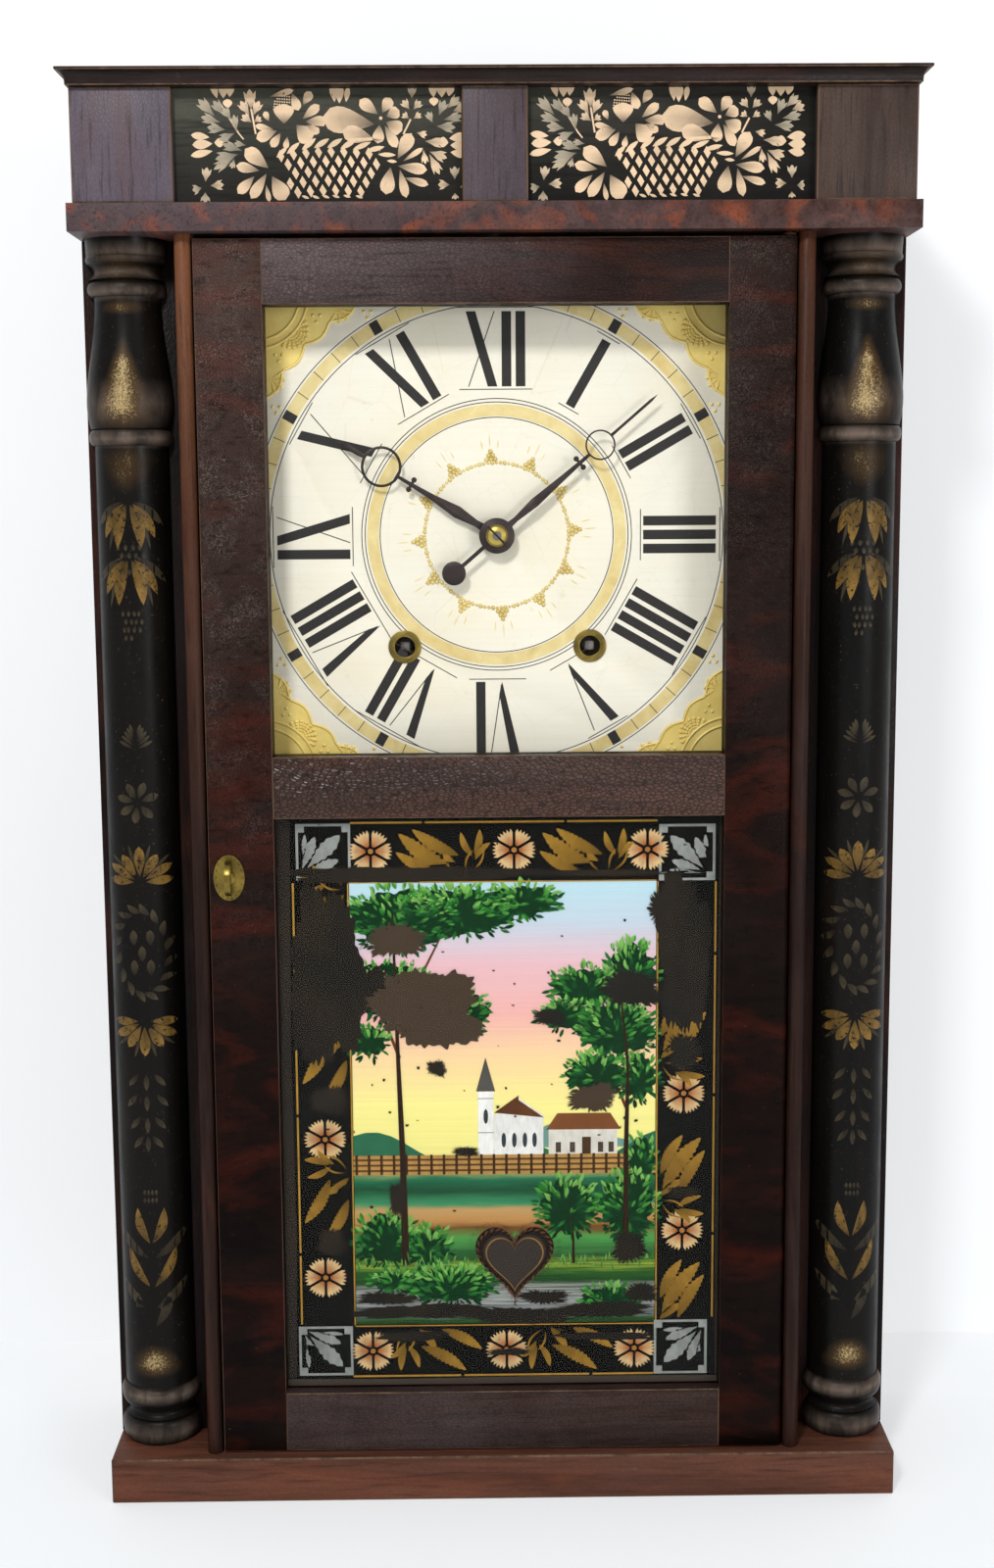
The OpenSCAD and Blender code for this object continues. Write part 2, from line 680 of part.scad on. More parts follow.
// Oval brass plate with a raised rim of small beads
escutcheon_w = 8.6;
escutcheon_h = 12.8;
escutcheon_t = 1;
function oval(rx, ry, a) = [rx * cos(a), ry * sin(a)];
module escutcheon() in_case() color(brass) {
    translate([latch_x, 0, latch_z]) difference() {
        union() {
            plate_of(door_front - escutcheon_t, escutcheon_t)
                polygon([for (a = [0:10:350]) oval(escutcheon_w, escutcheon_h, a)]);
            for (a = [0:20:340]) translate([oval(escutcheon_w - 0.9, escutcheon_h - 0.9, a)[0],
                                            door_front - escutcheon_t,
                                            oval(escutcheon_w - 0.9, escutcheon_h - 0.9, a)[1]])
                sphere(r = 0.7, $fn = 16);
        }
        translate([0, door_front + 1, 0]) rotate([90, 0, 0]) cylinder(h = 4, r = spindle_r + running);
    }
}

// Thumb-turn: an upright blade on a round spindle, with the tongue behind the door
blade_h = 20.5;
blade_t = 3.2;
blade_out = 9;
module door_latch() in_case() color(brass) translate([latch_x, 0, latch_z]) {
    translate([0, tongue_front + tongue_t, 0]) rotate([90, 0, 0])
        cylinder(h = tongue_front + tongue_t - door_front + escutcheon_t + 2, r = spindle_r);
    translate([0, door_front - escutcheon_t - free, 0]) rotate([90, 0, 0]) cylinder(h = 2, r = 3.4);
    translate([-blade_t / 2, 0, 0]) intersection() {
        slab([0, door_front - escutcheon_t - free - blade_out, -blade_h / 2],
             [blade_t, door_front - escutcheon_t - free - 1.6, blade_h / 2]);
        translate([0, door_front - escutcheon_t - free - 1.6 + blade_h * 0.12, 0])
            rotate([0, 90, 0]) cylinder(h = blade_t, r = blade_h / 2);
    }
    slab([-tongue_w / 2, tongue_front, -tongue_w / 2], [tongue_w / 2, tongue_front + tongue_t, tongue_len]);
}

// Upper nail has a head in the gap over the door, the lower one is a plain pin
module hinge_nails() in_case() color(iron) {
    translate([hinge_x, hinge_d, door_z1 - hinge_len + 1]) cylinder(h = 2 * hinge_len + door_head_gap - 2, r = hinge_r);
    translate([hinge_x, hinge_d, nail_head_z]) cylinder(h = nail_head_t, r = nail_head_r);
    translate([hinge_x, hinge_d, base_h - hinge_len + free])
        cylinder(h = 2 * hinge_len + door_foot_gap - 1 - free, r = hinge_r);
}

// ---- movement frame ----

// Places of the pillars; the upper left one stands clear of the hammer wire's swing
pillar_edge = 10;
pillar_x = plate_w / 2 - pillar_edge;
pillar_places = [[pillar_x, plate_up - pillar_edge], [hammer_at[0] + 14, plate_up - pillar_edge],
                 [-pillar_x, -plate_down + pillar_edge], [pillar_x, -plate_down + pillar_edge]];
pillar_r = 6;
tenon_r = 4;

// Windows sawn in both plates, each given by its corner and its size
window_low = [[-22, -plate_down + pillar_edge], [44, 62]];
window_rise = 36;
window_right = [[46, window_rise], [30, plate_up - pillar_edge - window_rise]];
window_left = [[-76, 46], [26, 26]];
module plate_windows() {
    for (w = [window_low, window_right, window_left]) translate(w[0]) square(w[1]);
}

module plate_blank(d) {
    on_arbor(centre, d, plate_t) difference() {
        translate([-plate_w / 2, -plate_down]) square([plate_w, plate_up + plate_down]);
        plate_windows();
    }
}

// Arbors that pivot in both plates
pivot_places = [third_at, escape_at, pin_at, warning_at, fly_at, hammer_at];
winding_r = 3.5;

module front_plate() in_case() color(oak) difference() {
    plate_blank(plate_front);
    for (p = pillar_places) bar(p, plate_front - 1, inside + 1, tenon_r + seat);
    for (p = pivot_places) bar(p, plate_front - 1, inside + 1, pivot_r + running);
    for (p = [time_great, strike_great]) bar(p, plate_front - 1, inside + 1, winding_r + running);
    bar(hour_at, plate_front - 1, inside + 1, arbor_r + running);
    bar(centre, plate_front - 1, inside + 1, 1.8 + running);
    bar(verge_at, plate_front - 1, inside + 1, verge_r + running);
    bar(verge_at + [0, post_rise], plate_front - 1, inside + 1, post_r + seat);
}

module back_plate() in_case() color(oak) difference() {
    plate_blank(plate_back0);
    for (p = pillar_places) bar(p, plate_back0 - 1, plate_back1 + 1, tenon_r + seat);
    for (p = concat(pivot_places, [hour_at, time_great, strike_great, verge_at]))
        bar(p, plate_back0 - 1, plate_back1 + 1, pivot_r + running);
}

module plate_pillars() in_case() color(cherry) {
    for (p = pillar_places) {
        bar(p, inside, plate_back0, pillar_r);
        bar(p, plate_front - 2, plate_back1, tenon_r);
    }
}

// Battens on the back boards carry the back plate
batten_h = 20;
batten_edge = 4;
module movement_battens() in_case() color(pine) {
    for (z = [plate_up - batten_h - batten_edge, -plate_down + batten_edge])
        slab([-plate_w / 2 - batten_edge, plate_back1, dial_z + z], [plate_w / 2 + batten_edge, back_d, dial_z + z + batten_h]);
}

// Wire stud with a slit block that the pendulum hangs from
post_rise = 7;
post_r = 1.5;
post_half = 2;
module suspension_post() in_case() color(steel) {
    at = verge_at + [0, post_rise];
    bar(at, rod_d - post_r, inside, post_r);
    slab([at[0] - post_half, rod_d - post_r, dial_z + verge_at[1] + free],
         [at[0] + post_half, rod_d + post_r, dial_z + at[1]]);
}

// ---- time train ----

ratchet_r = drum_r + 2.6;
ratchet_root = drum_r + 0.5;
ratchet_teeth = 20;
click_r = 3;
square_w = 5;

module great_wheel(at, mesh_at) {
    difference() {
        union() {
            on_arbor(at, inside + great_lie[0], great_lie[1]) wheel(great_teeth, great_module, angle_to(at, mesh_at));
            // click that stands over the drum's ratchet
            bar(at + [0, ratchet_r + click_r + 0.9], inside + great_lie[0] - ratchet_t, inside + great_lie[0], click_r);
        }
        bar(at, inside + great_lie[0] - 1, inside + great_lie[0] + great_lie[1] + 1, arbor_r + 1 + running);
    }
}

module time_great_wheel() in_case() color(cherry) great_wheel(time_great, hour_at);
module strike_great_wheel() in_case() color(cherry) great_wheel(strike_great, pin_at);

// Drum with two flanges, a ratchet behind it and a square winding end in front
module drum(at) {
    d0 = inside + drum_lie[0];
    d1 = d0 + drum_lie[1];
    bar(at, d0, d1, drum_r);
    for (d = [d0, d1 - flange_t]) bar(at, d, d + flange_t, drum_flange_r);
    on_arbor(at, d1, ratchet_t) saw_toothed(ratchet_teeth, ratchet_root, ratchet_r);
    bar(at, d1, plate_back0 - free, arbor_r + 1);
    bar(at, d0, plate_back1, pivot_r);
    bar(at, square_back, d0, winding_r);
    on_arbor(at, square_front, square_back - square_front) square([square_w, square_w], center = true);
}

module time_drum() in_case() color(cherry) drum(time_great);
module strike_drum() in_case() color(cherry) drum(strike_great);

// The hour arbor turns once an hour and drives the motion work in front of the plate
module hour_arbor() in_case() color(cherry) {
    arbor(hour_at);
    bar(hour_at, hour_pinion_d, inside + 1, 1.7);
    bar(hour_at, motion_lie[0], inside + 1, arbor_r);
    on_arbor(hour_at, inside + great_lie[0] - 1, great_lie[1] + 2)
        pinion(pinion_leaves, great_module, angle_to(hour_at, time_great));
    on_arbor(hour_at, inside + hour_lie[0], hour_lie[1])
        wheel(hour_arbor_teeth, hour_arbor_module, angle_to(hour_at, third_at));
    on_arbor(hour_at, motion_lie[0], motion_lie[1]) wheel(motion_teeth, motion_module, angle_to(hour_at, centre));
    on_arbor(hour_at, hour_pinion_d, motion_lie[0] - hour_pinion_d)
        pinion(hour_pinion_leaves, hour_module, angle_to(hour_at, centre));
}

module third_arbor() in_case() color(cherry) {
    arbor(third_at, 2.6);
    on_arbor(third_at, inside + hour_lie[0] - 1, hour_lie[1] + 2)
        pinion(pinion_leaves, hour_arbor_module, angle_to(third_at, hour_at));
    on_arbor(third_at, inside + third_lie[0], third_lie[1])
        wheel(third_teeth, third_module, angle_to(third_at, escape_at));
}

// Brass escape wheel with pointed raked teeth
module escape_arbor() in_case() {
    color(cherry) arbor(escape_at, 2.2);
    color(cherry) on_arbor(escape_at, inside + third_lie[0] - 1, third_lie[1] + 2)
        pinion(pinion_leaves, third_module, angle_to(escape_at, third_at));
    color(brass) on_arbor(escape_at, inside + escape_lie[0], escape_lie[1]) difference() {
        saw_toothed(escape_teeth, escape_r - 3.2, escape_r);
        for (a = [0:90:270]) rotate(a) translate([12.5, 0]) circle(r = 6);
    }
}

// Pallet strip on the verge arbor, with the crutch in front of the plate
pallet_a = 38;
verge_r = 1.5;
pallet_out = 2.4;
crutch_len = 50;
crutch_t = 1.2;
fork_half = 2;
fork_r = 0.6;
module verge() in_case() color(steel) {
    bar(verge_at, rod_d + 2 * rod_r, inside + escape_lie[0] + 8, verge_r);
    bar(verge_at, inside + escape_lie[0] + 7, plate_back1, pivot_r);
    tip = escape_r + pallet_out;
    drop = verge_at[1] - escape_at[1];
    on_arbor(verge_at, inside + escape_lie[0] - 0.4, escape_lie[1] + 0.8) difference() {
        for (s = [-1, 1]) polygon([[0, 3], [0, -2.4], [s * (tip * sin(pallet_a) - 3), tip * cos(pallet_a) - drop + 2.6],
                                   [s * tip * sin(pallet_a), tip * cos(pallet_a) - drop],
                                   [s * (tip * sin(pallet_a) + 1.4), tip * cos(pallet_a) - drop + 1.6]]);
        circle(r = 1);
    }
    // crutch wire and its fork round the pendulum rod
    fork_z = dial_z + verge_at[1] - crutch_len;
    crutch_d = rod_d + 2 * rod_r;
    slab([verge_at[0] - rod_r, crutch_d, fork_z], [verge_at[0] + rod_r, crutch_d + crutch_t, dial_z + verge_at[1]]);
    slab([verge_at[0] - fork_half - rod_r, crutch_d, fork_z - rod_r - fork_r],
         [verge_at[0] + fork_half + rod_r, crutch_d + crutch_t, fork_z + rod_r]);
    for (s = [-1, 1]) translate([verge_at[0] + s * fork_half, crutch_d + crutch_t, fork_z])
        rotate([90, 0, 0]) cylinder(h = crutch_t + 4 * rod_r, r = fork_r);
}

// Wire rod with a lens-shaped brass bob and its rating nut
bob_t = 10;
bob_edge = 0.95;
module pendulum() in_case() {
    z = dial_z + verge_at[1];
    color(steel) {
        translate([verge_at[0], rod_d, z - pendulum_len + bob_r - 3]) cylinder(h = pendulum_len - bob_r - 9, r = rod_r);
        translate([verge_at[0], rod_d, z - pendulum_len - bob_r - 8]) cylinder(h = 11, r = rod_r);
        slab([verge_at[0] - 1.4, rod_d - 0.15, z - 13], [verge_at[0] + 1.4, rod_d + 0.15, z]);
    }
    color(brass) translate([verge_at[0], rod_d, z - pendulum_len]) rotate([90, 0, 0])
        rotate_extrude() polygon(concat([[0, -bob_t / 2]],
            [for (a = [-72:12:-12]) [bob_r * cos(a), bob_t / 2 * sin(a)]],
            [[bob_r, -bob_edge], [bob_r, bob_edge]],
            [for (a = [12:12:72]) [bob_r * cos(a), bob_t / 2 * sin(a)]], [[0, bob_t / 2]]));
    color(brass) translate([verge_at[0], rod_d, z - pendulum_len - bob_r - 5]) cylinder(h = 3, r = 3);
}

// ---- motion work and hands ----

module minute_arbor() in_case() color(steel) {
    bar(centre, minute_hand_d - 2.6, plate_front, cannon_r);
    bar(centre, plate_front - 1, inside, 1.8);
    on_arbor(centre, motion_lie[0], motion_lie[1])
        wheel(motion_teeth, motion_module, angle_to(centre, hour_at) + 180 / motion_teeth);
}

module hour_pipe() in_case() color(cherry) difference() {
    union() {
        bar(centre, hour_hand_d, hour_wheel_lie[0] + hour_wheel_lie[1], hour_pipe_r);
        on_arbor(centre, hour_wheel_lie[0], hour_wheel_lie[1])
            wheel(hour_wheel_teeth, hour_module, angle_to(centre, hour_at));
    }
    bar(centre, hour_hand_d - 1, plate_front, cannon_r + running);
}

// A hand lying along +X: hub, blade with a waist, lugs, ring and point
module hand_outline(hub_r, ring_at, ring_r, ring_w, lug_at, len, swell, tail_w) {
    circle(r = hub_r);
    polygon([[0, -2.6], [hub_r + 4, -swell * 0.55], [hub_r + (lug_at - hub_r) * 0.35, -swell],
             [hub_r + (lug_at - hub_r) * 0.7, -1.7], [lug_at, -1.1], [ring_at - ring_r + ring_w, -0.9],
             [ring_at - ring_r + ring_w, 0.9], [lug_at, 1.1], [hub_r + (lug_at - hub_r) * 0.7, 1.7],
             [hub_r + (lug_at - hub_r) * 0.35, swell], [hub_r + 4, swell * 0.55], [0, 2.6]]);
    for (s = [-1, 1]) {
        translate([lug_at, s * 3]) circle(r = 1.5, $fn = 24);
        translate([lug_at - 0.8, s > 0 ? 0 : -3]) square([1.6, 3]);
    }
    difference() {
        translate([ring_at, 0]) circle(r = ring_r);
        translate([ring_at, 0]) circle(r = ring_r - ring_w);
    }
    polygon([[ring_at + ring_r - ring_w * 0.7, -0.9], [ring_at + ring_r + 3, -tail_w], [len - 5, -tail_w],
             [len, 0], [len - 5, tail_w], [ring_at + ring_r + 3, tail_w], [ring_at + ring_r - ring_w * 0.7, 0.9]]);
}

counterpoise_at = 31.5;
counterpoise_r = 6.6;
minute_lug_at = minute_ring_at - minute_ring_r - 6.7;
hour_lug_at = hour_ring_at - hour_ring_r - 8;
module minute_hand() in_case() {
    color(steel) on_arbor(centre, minute_hand_d, hand_t) difference() {
        rotate(90 - minute_angle) {
            hand_outline(hand_hub_r, minute_ring_at, minute_ring_r, 0.9, minute_lug_at, minute_len, 2.6, 0.8);
            translate([-counterpoise_at, 0]) circle(r = counterpoise_r);
            translate([-counterpoise_at, -1.1]) square([counterpoise_at, 2.2]);
        }
        circle(r = cannon_r + seat);
    }
    // domed brass collet and the taper pin across the arbor's end
    color(brass) difference() {
        bar(centre, minute_hand_d - 1.4, minute_hand_d, 5.4);
        bar(centre, minute_hand_d - 3, minute_hand_d + 1, cannon_r + seat);
    }
}

module hour_hand() in_case() color(steel) on_arbor(centre, hour_hand_d, hand_t) difference() {
    rotate(90 - hour_angle) hand_outline(hand_hub_r, hour_ring_at, hour_ring_r, 1.5, hour_lug_at, hour_len, 3.4, 1.5);
    circle(r = hour_pipe_r + seat);
}

// ---- strike train ----

module pin_arbor() in_case() color(cherry) {
    arbor(pin_at);
    on_arbor(pin_at, inside + great_lie[0] - 0.8, great_lie[1] + 1.8)
        pinion(pinion_leaves, great_module, angle_to(pin_at, strike_great));
    on_arbor(pin_at, inside + pin_wheel_lie[0], pin_wheel_lie[1])
        wheel(pin_teeth, pin_module, angle_to(pin_at, warning_at));
    for (i = [0:lift_pins - 1])
        bar(pin_at + polar(lift_ring_r, (i + 0.5) * 360 / lift_pins), inside + pin_wheel_lie[0] - lift_pin_len,
            inside + pin_wheel_lie[0] + 1, lift_pin_r);
}

module warning_arbor() in_case() color(cherry) {
    arbor(warning_at, 2.4);
    on_arbor(warning_at, inside + pin_wheel_lie[0] - 1, pin_wheel_lie[1] + 2)
        pinion(pinion_leaves, pin_module, angle_to(warning_at, pin_at));
    on_arbor(warning_at, inside + warning_lie[0], warning_lie[1])
        wheel(warning_teeth, warning_module, angle_to(warning_at, fly_at));
}

fly_half = 13.5;
fly_t = 1.2;
module fly() in_case() color(cherry) {
    arbor(fly_at, 1.5);
    on_arbor(fly_at, inside + warning_lie[0] - 1, warning_lie[1] + 2)
        pinion(fly_leaves, warning_module, angle_to(fly_at, warning_at));
    on_arbor(fly_at, inside + plate_gap * 0.435, plate_gap * 0.478) square([2 * fly_half, fly_t], center = true);
}

// Hammer: arbor, a tail over the lifting pins and a wire with a round head by the bell
hammer_d = inside + pin_wheel_lie[0] - 3.4;
tail_t = 3;
tail_w = 2;
tail_end = pin_at + polar(lift_ring_r + lift_pin_r + 1.4, angle_to(pin_at, hammer_at));
head_rise = bell_z + 6 - dial_z;
module hammer() in_case() color(steel) {
    arbor(hammer_at, 2.2);
    on_arbor(centre, hammer_d - tail_t / 2, tail_t) translate(hammer_at) rotate(angle_to(hammer_at, tail_end))
        translate([0, -tail_w / 2]) square([norm(tail_end - hammer_at), tail_w]);
    translate([hammer_at[0], hammer_d, dial_z + hammer_at[1]]) cylinder(h = head_rise - hammer_at[1], r = lift_pin_r);
    translate([hammer_at[0] + hammer_grip - hammer_head[1], hammer_d, dial_z + head_rise]) rotate([0, 90, 0])
        cylinder(h = hammer_head[1], r = hammer_head[0]);
}

// Thin domed bell, mouth down
module bell() in_case() color(brass) translate([bell_x, bell_d, bell_z]) difference() {
    rotate_extrude() polygon(concat(
        [for (a = [0:10:80]) [bell_r * cos(a), bell_lip + (bell_h - bell_lip) * sin(a)]],
        [[0, bell_h], [0, bell_h - bell_t]],
        [for (a = [80:-10:0]) [(bell_r - bell_t) * cos(a), bell_lip + (bell_h - bell_lip - bell_t) * sin(a)]],
        [[bell_r - bell_t, 0], [bell_r, 0]]));
    translate([0, 0, bell_h - 3 * bell_t]) cylinder(h = 5 * bell_t, r = bell_bolt_r + seat);
}

// Iron foot on the back boards, an arm over the bell and the bolt that it hangs on
stand_foot_half = 9;
stand_arm_half = 5;
stand_arm_t = 5;
stand_foot_t = 3;
bolt_washer_t = 3;
module bell_stand() in_case() color(iron) {
    arm_z = bell_z + bell_h + bolt_washer_t;
    slab([bell_x - stand_foot_half, back_d - stand_foot_t, bell_z - 4],
         [bell_x + stand_foot_half, back_d, arm_z + stand_arm_t]);
    slab([bell_x - stand_arm_half, bell_d - stand_arm_half, arm_z],
         [bell_x + stand_arm_half, back_d - stand_foot_t, arm_z + stand_arm_t]);
    translate([bell_x, bell_d, bell_z + bell_h - 4 * bell_t]) cylinder(h = 4 * bell_t + bolt_washer_t + 1, r = bell_bolt_r);
    translate([bell_x, bell_d, bell_z + bell_h]) cylinder(h = bolt_washer_t, r = 2 * bell_bolt_r);
}

// ---- pulleys, cords and weights ----

block_half = 12.5;
block_depth = 20;
block_foot = 9;
module pulley_block() difference() {
    slab([pulley_x - block_half, cord_d - block_depth / 2, pulley_z - block_foot],
         [pulley_x + block_half, cord_d + block_depth / 2, body_z1]);
    slab([pulley_x - block_half - 1, cord_d - pulley_t / 2 - free, pulley_z - block_foot - 1],
         [pulley_x + block_half + 1, cord_d + pulley_t / 2 + free, pulley_z + pulley_rim_r + pulley_head_gap / 3]);
}

// Wooden blocks under the cornice board, each with its iron pin
module pulley_blocks() in_case() both_sides() {
    color(oak) pulley_block();
    color(iron) translate([pulley_x, cord_d + block_depth / 2, pulley_z]) rotate([90, 0, 0])
        cylinder(h = block_depth, r = pulley_pin_r);
}

module pulley() translate([pulley_x, cord_d, pulley_z]) rotate([90, 0, 0]) rotate_extrude()
    polygon([[pulley_pin_r + running, -pulley_t / 2], [pulley_rim_r, -pulley_t / 2], [pulley_rim_r, -pulley_t / 2 + pulley_rim_t],
             [pulley_r, -cord_r], [pulley_r, cord_r], [pulley_rim_r, pulley_t / 2 - pulley_rim_t], [pulley_rim_r, pulley_t / 2],
             [pulley_pin_r + running, pulley_t / 2]]);

module time_pulley() in_case() color(oak) pulley();
module strike_pulley() in_case() color(oak) mirror([1, 0, 0]) pulley();

// The cord leaves the inner side of the drum, climbs to the pulley and goes over it,
// so that the falling time weight turns the hands clockwise
drum_c = [winding_x, dial_z - winding_drop];
pulley_c = [pulley_x, pulley_z];
touch_a = angle_to(drum_c, pulley_c) + acos((drum_wind_r - pulley_wind_r) / norm(pulley_c - drum_c));
cord_from = drum_c + polar(drum_wind_r, touch_a);
cord_to = pulley_c + polar(pulley_wind_r, touch_a);

module cord_run() {
    translate([cord_from[0], cord_d, cord_from[1]]) rotate([0, 90 - angle_to(cord_from, cord_to), 0])
        cylinder(h = norm(cord_to - cord_from) - seat, r = cord_r, $fn = 24);
    translate([pulley_x, cord_d, pulley_z]) rotate([90, 0, 0])
        rotate_extrude(angle = touch_a, $fn = 96) translate([pulley_wind_r, 0]) circle(r = cord_r, $fn = 24);
}

module weight_cords() in_case() color(hemp) both_sides() cord_run();

module cord_fall() translate([fall_x, cord_d, fall_z0]) cylinder(h = pulley_z - fall_z0, r = cord_r, $fn = 24);
module time_cord_fall() in_case() color(hemp) cord_fall();
module strike_cord_fall() in_case() color(hemp) mirror([1, 0, 0]) cord_fall();

// Cast-iron weight with a rounded shoulder and a wire eye
module weight() translate([fall_x, cord_d, 0]) {
    rotate_extrude() polygon(concat([[0, weight_z0], [weight_r - 2, weight_z0], [weight_r, weight_z0 + 2]],
        [for (a = [0:15:90]) [weight_r - 8 + 8 * cos(a), weight_top - 10 + 8 * sin(a)]], [[5, weight_top], [0, weight_top]]));
    translate([0, 0, hook_z]) rotate([90, 0, 0]) rotate_extrude() translate([hook_r, 0]) circle(r = hook_wire_r, $fn = 24);
}

module time_weight() in_case() color(iron) weight();
module strike_weight() in_case() color(iron) mirror([1, 0, 0]) weight();

// ---- whole clock ----

base_plinth();
bottom_board();
side_boards();
stile_boards();
bead_strips();
column_left();
column_right();
cornice_board();
frieze_board();
frieze_blocks();
frieze_sides();
cap_board();
back_boards();
dial_board();
winding_grommets();
dial_strips();
dial_buttons();
hinge_nails();
movement_battens();
front_plate();
back_plate();
plate_pillars();
suspension_post();
bell();
bell_stand();
pulley_blocks();
weight_cords();
time_cord_fall();
strike_cord_fall();
door_stile_left();
door_stile_right();
door_top_rail();
door_middle_rail();
door_bottom_rail();
dial_glass();
tablet_glass();
glazing_strips();
escutcheon();
door_latch();
time_weight();
strike_weight();
time_drum();
strike_drum();
time_pulley();
strike_pulley();
time_great_wheel();
hour_arbor();
third_arbor();
escape_arbor();
minute_arbor();
minute_hand();
hour_pipe();
hour_hand();
verge();
pendulum();
strike_great_wheel();
pin_arbor();
warning_arbor();
fly();
hammer();
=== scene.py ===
"""Dresses the half-column shelf clock: finishes, painted dial, stencils, tablet and stage."""

import json
import math
import random

import bpy
from bpy.props import FloatProperty, FloatVectorProperty, PointerProperty
from mathutils import Matrix, Vector


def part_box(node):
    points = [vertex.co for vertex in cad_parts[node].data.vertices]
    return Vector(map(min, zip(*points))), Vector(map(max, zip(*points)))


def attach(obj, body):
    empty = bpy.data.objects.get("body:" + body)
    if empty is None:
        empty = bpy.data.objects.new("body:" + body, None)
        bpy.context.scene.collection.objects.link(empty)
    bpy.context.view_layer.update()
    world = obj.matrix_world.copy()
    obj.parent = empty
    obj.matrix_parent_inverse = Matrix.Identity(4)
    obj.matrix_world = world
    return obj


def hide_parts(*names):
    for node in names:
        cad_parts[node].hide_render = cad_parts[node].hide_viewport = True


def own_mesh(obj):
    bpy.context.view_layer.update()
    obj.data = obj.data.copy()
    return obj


bl_info = {
    "name": "Half-column shelf clock",
    "version": (1, 0, 0),
    "blender": (4, 5, 0),
    "location": "3D View > Sidebar > Clock",
    "description": "Finishes and painted ornament for a half-column shelf clock",
    "category": "Object",
}

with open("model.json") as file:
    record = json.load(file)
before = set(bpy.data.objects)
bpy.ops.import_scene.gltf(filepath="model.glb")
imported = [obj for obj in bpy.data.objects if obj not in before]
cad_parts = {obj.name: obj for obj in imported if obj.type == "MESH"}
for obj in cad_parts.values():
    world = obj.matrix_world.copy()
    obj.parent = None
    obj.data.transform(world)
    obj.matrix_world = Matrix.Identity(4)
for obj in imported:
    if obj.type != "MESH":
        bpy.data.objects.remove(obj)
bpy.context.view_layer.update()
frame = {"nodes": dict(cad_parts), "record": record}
NODES = frame["nodes"]
BODY_OF = {node: body for body, members in frame["record"]["behaviour"]["bodies"].items() for node in members}
SLOT_OF = {part["node"]: part["material_slot"] for part in frame["record"]["subparts"]}
MM = 0.001

# Where the ornament is laid out from: the case's face in metres, all else in millimetres
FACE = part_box("stile_boards")[0].y
DIAL_LOW, DIAL_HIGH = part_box("dial_board")
DIAL_Z = (DIAL_LOW.z + DIAL_HIGH.z) / 2 / MM
DIAL_D = (DIAL_LOW.y - FACE) / MM
TABLET_Z0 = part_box("door_bottom_rail")[1].z / MM
TABLET_Z1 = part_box("door_middle_rail")[0].z / MM
TABLET_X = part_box("door_top_rail")[1].x / MM
TABLET_D = (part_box("tablet_glass")[1].y - FACE) / MM
FRIEZE_D = (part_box("frieze_board")[0].y - FACE) / MM
FRIEZE_Z0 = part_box("frieze_board")[0].z / MM
COLUMN_X = (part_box("column_right")[0].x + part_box("column_right")[1].x) / 2 / MM
CASE_Z0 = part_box("column_right")[0].z / MM


def tint(colour):
    """Linear colour of six hexadecimal digits; a colour that is linear already stays as it is."""
    if not isinstance(colour, str):
        return tuple(colour)
    steps = [int(colour[i:i + 2], 16) / 255 for i in (0, 2, 4)]
    return tuple(s / 12.92 if s <= 0.04045 else ((s + 0.055) / 1.055) ** 2.4 for s in steps)


def dimmed(colour, share):
    """A share of a colour's light."""
    return tuple(c * share for c in tint(colour))


def colour_prop(name, description, code):
    return FloatVectorProperty(name=name, description=description, subtype="COLOR", size=3,
                               min=0, max=1, default=tint(code))


def size_prop(name, description, default, low, high):
    return FloatProperty(name=name, description=description, default=default, min=low, max=high,
                         precision=2, step=10)


class ClockColours(bpy.types.PropertyGroup):
    """Colours of the woods, metals and paints."""
    wood_dark: colour_prop("Mahogany dark", "Dark of the upright boards' veneer", "0c0706")
    wood_light: colour_prop("Mahogany light", "Light of the upright boards' veneer", "1e1310")
    wood_flash: colour_prop("Mahogany flash", "Red flashes in the upright boards' veneer", "7a3a25")
    bead_light: colour_prop("Bead strips", "Light of the bead strips", "33201a")
    black_paint: colour_prop("Black paint", "Paint of the columns", "0b0a09")
    powder: colour_prop("Bronze powder", "Stencilled leaves of the columns", "b98f45")
    frieze_cream: colour_prop("Frieze cream", "Stencilled fruit and flowers of the frieze", "e9c8a2")
    dial_cream: colour_prop("Dial cream", "Ground of the dial", "e7e2d1")
    gilt: colour_prop("Gilt", "Gilded corners of the dial", "f4dc82")
    ink: colour_prop("Numerals", "Black of the numerals and lines", "24211f")
    brass: colour_prop("Brass", "Old brass", "8f7a3c")
    hand: colour_prop("Hands", "Browned steel of the hands", "3d3432")
    loss: colour_prop("Bare backing", "What shows where the tablet's paint has fallen off", "1f1b17")
    ochre: colour_prop("Tablet ochre", "Stencilled leaves round the tablet", "b98d35")
    silver: colour_prop("Tablet silver", "Corner squares of the tablet", "9a9d98")


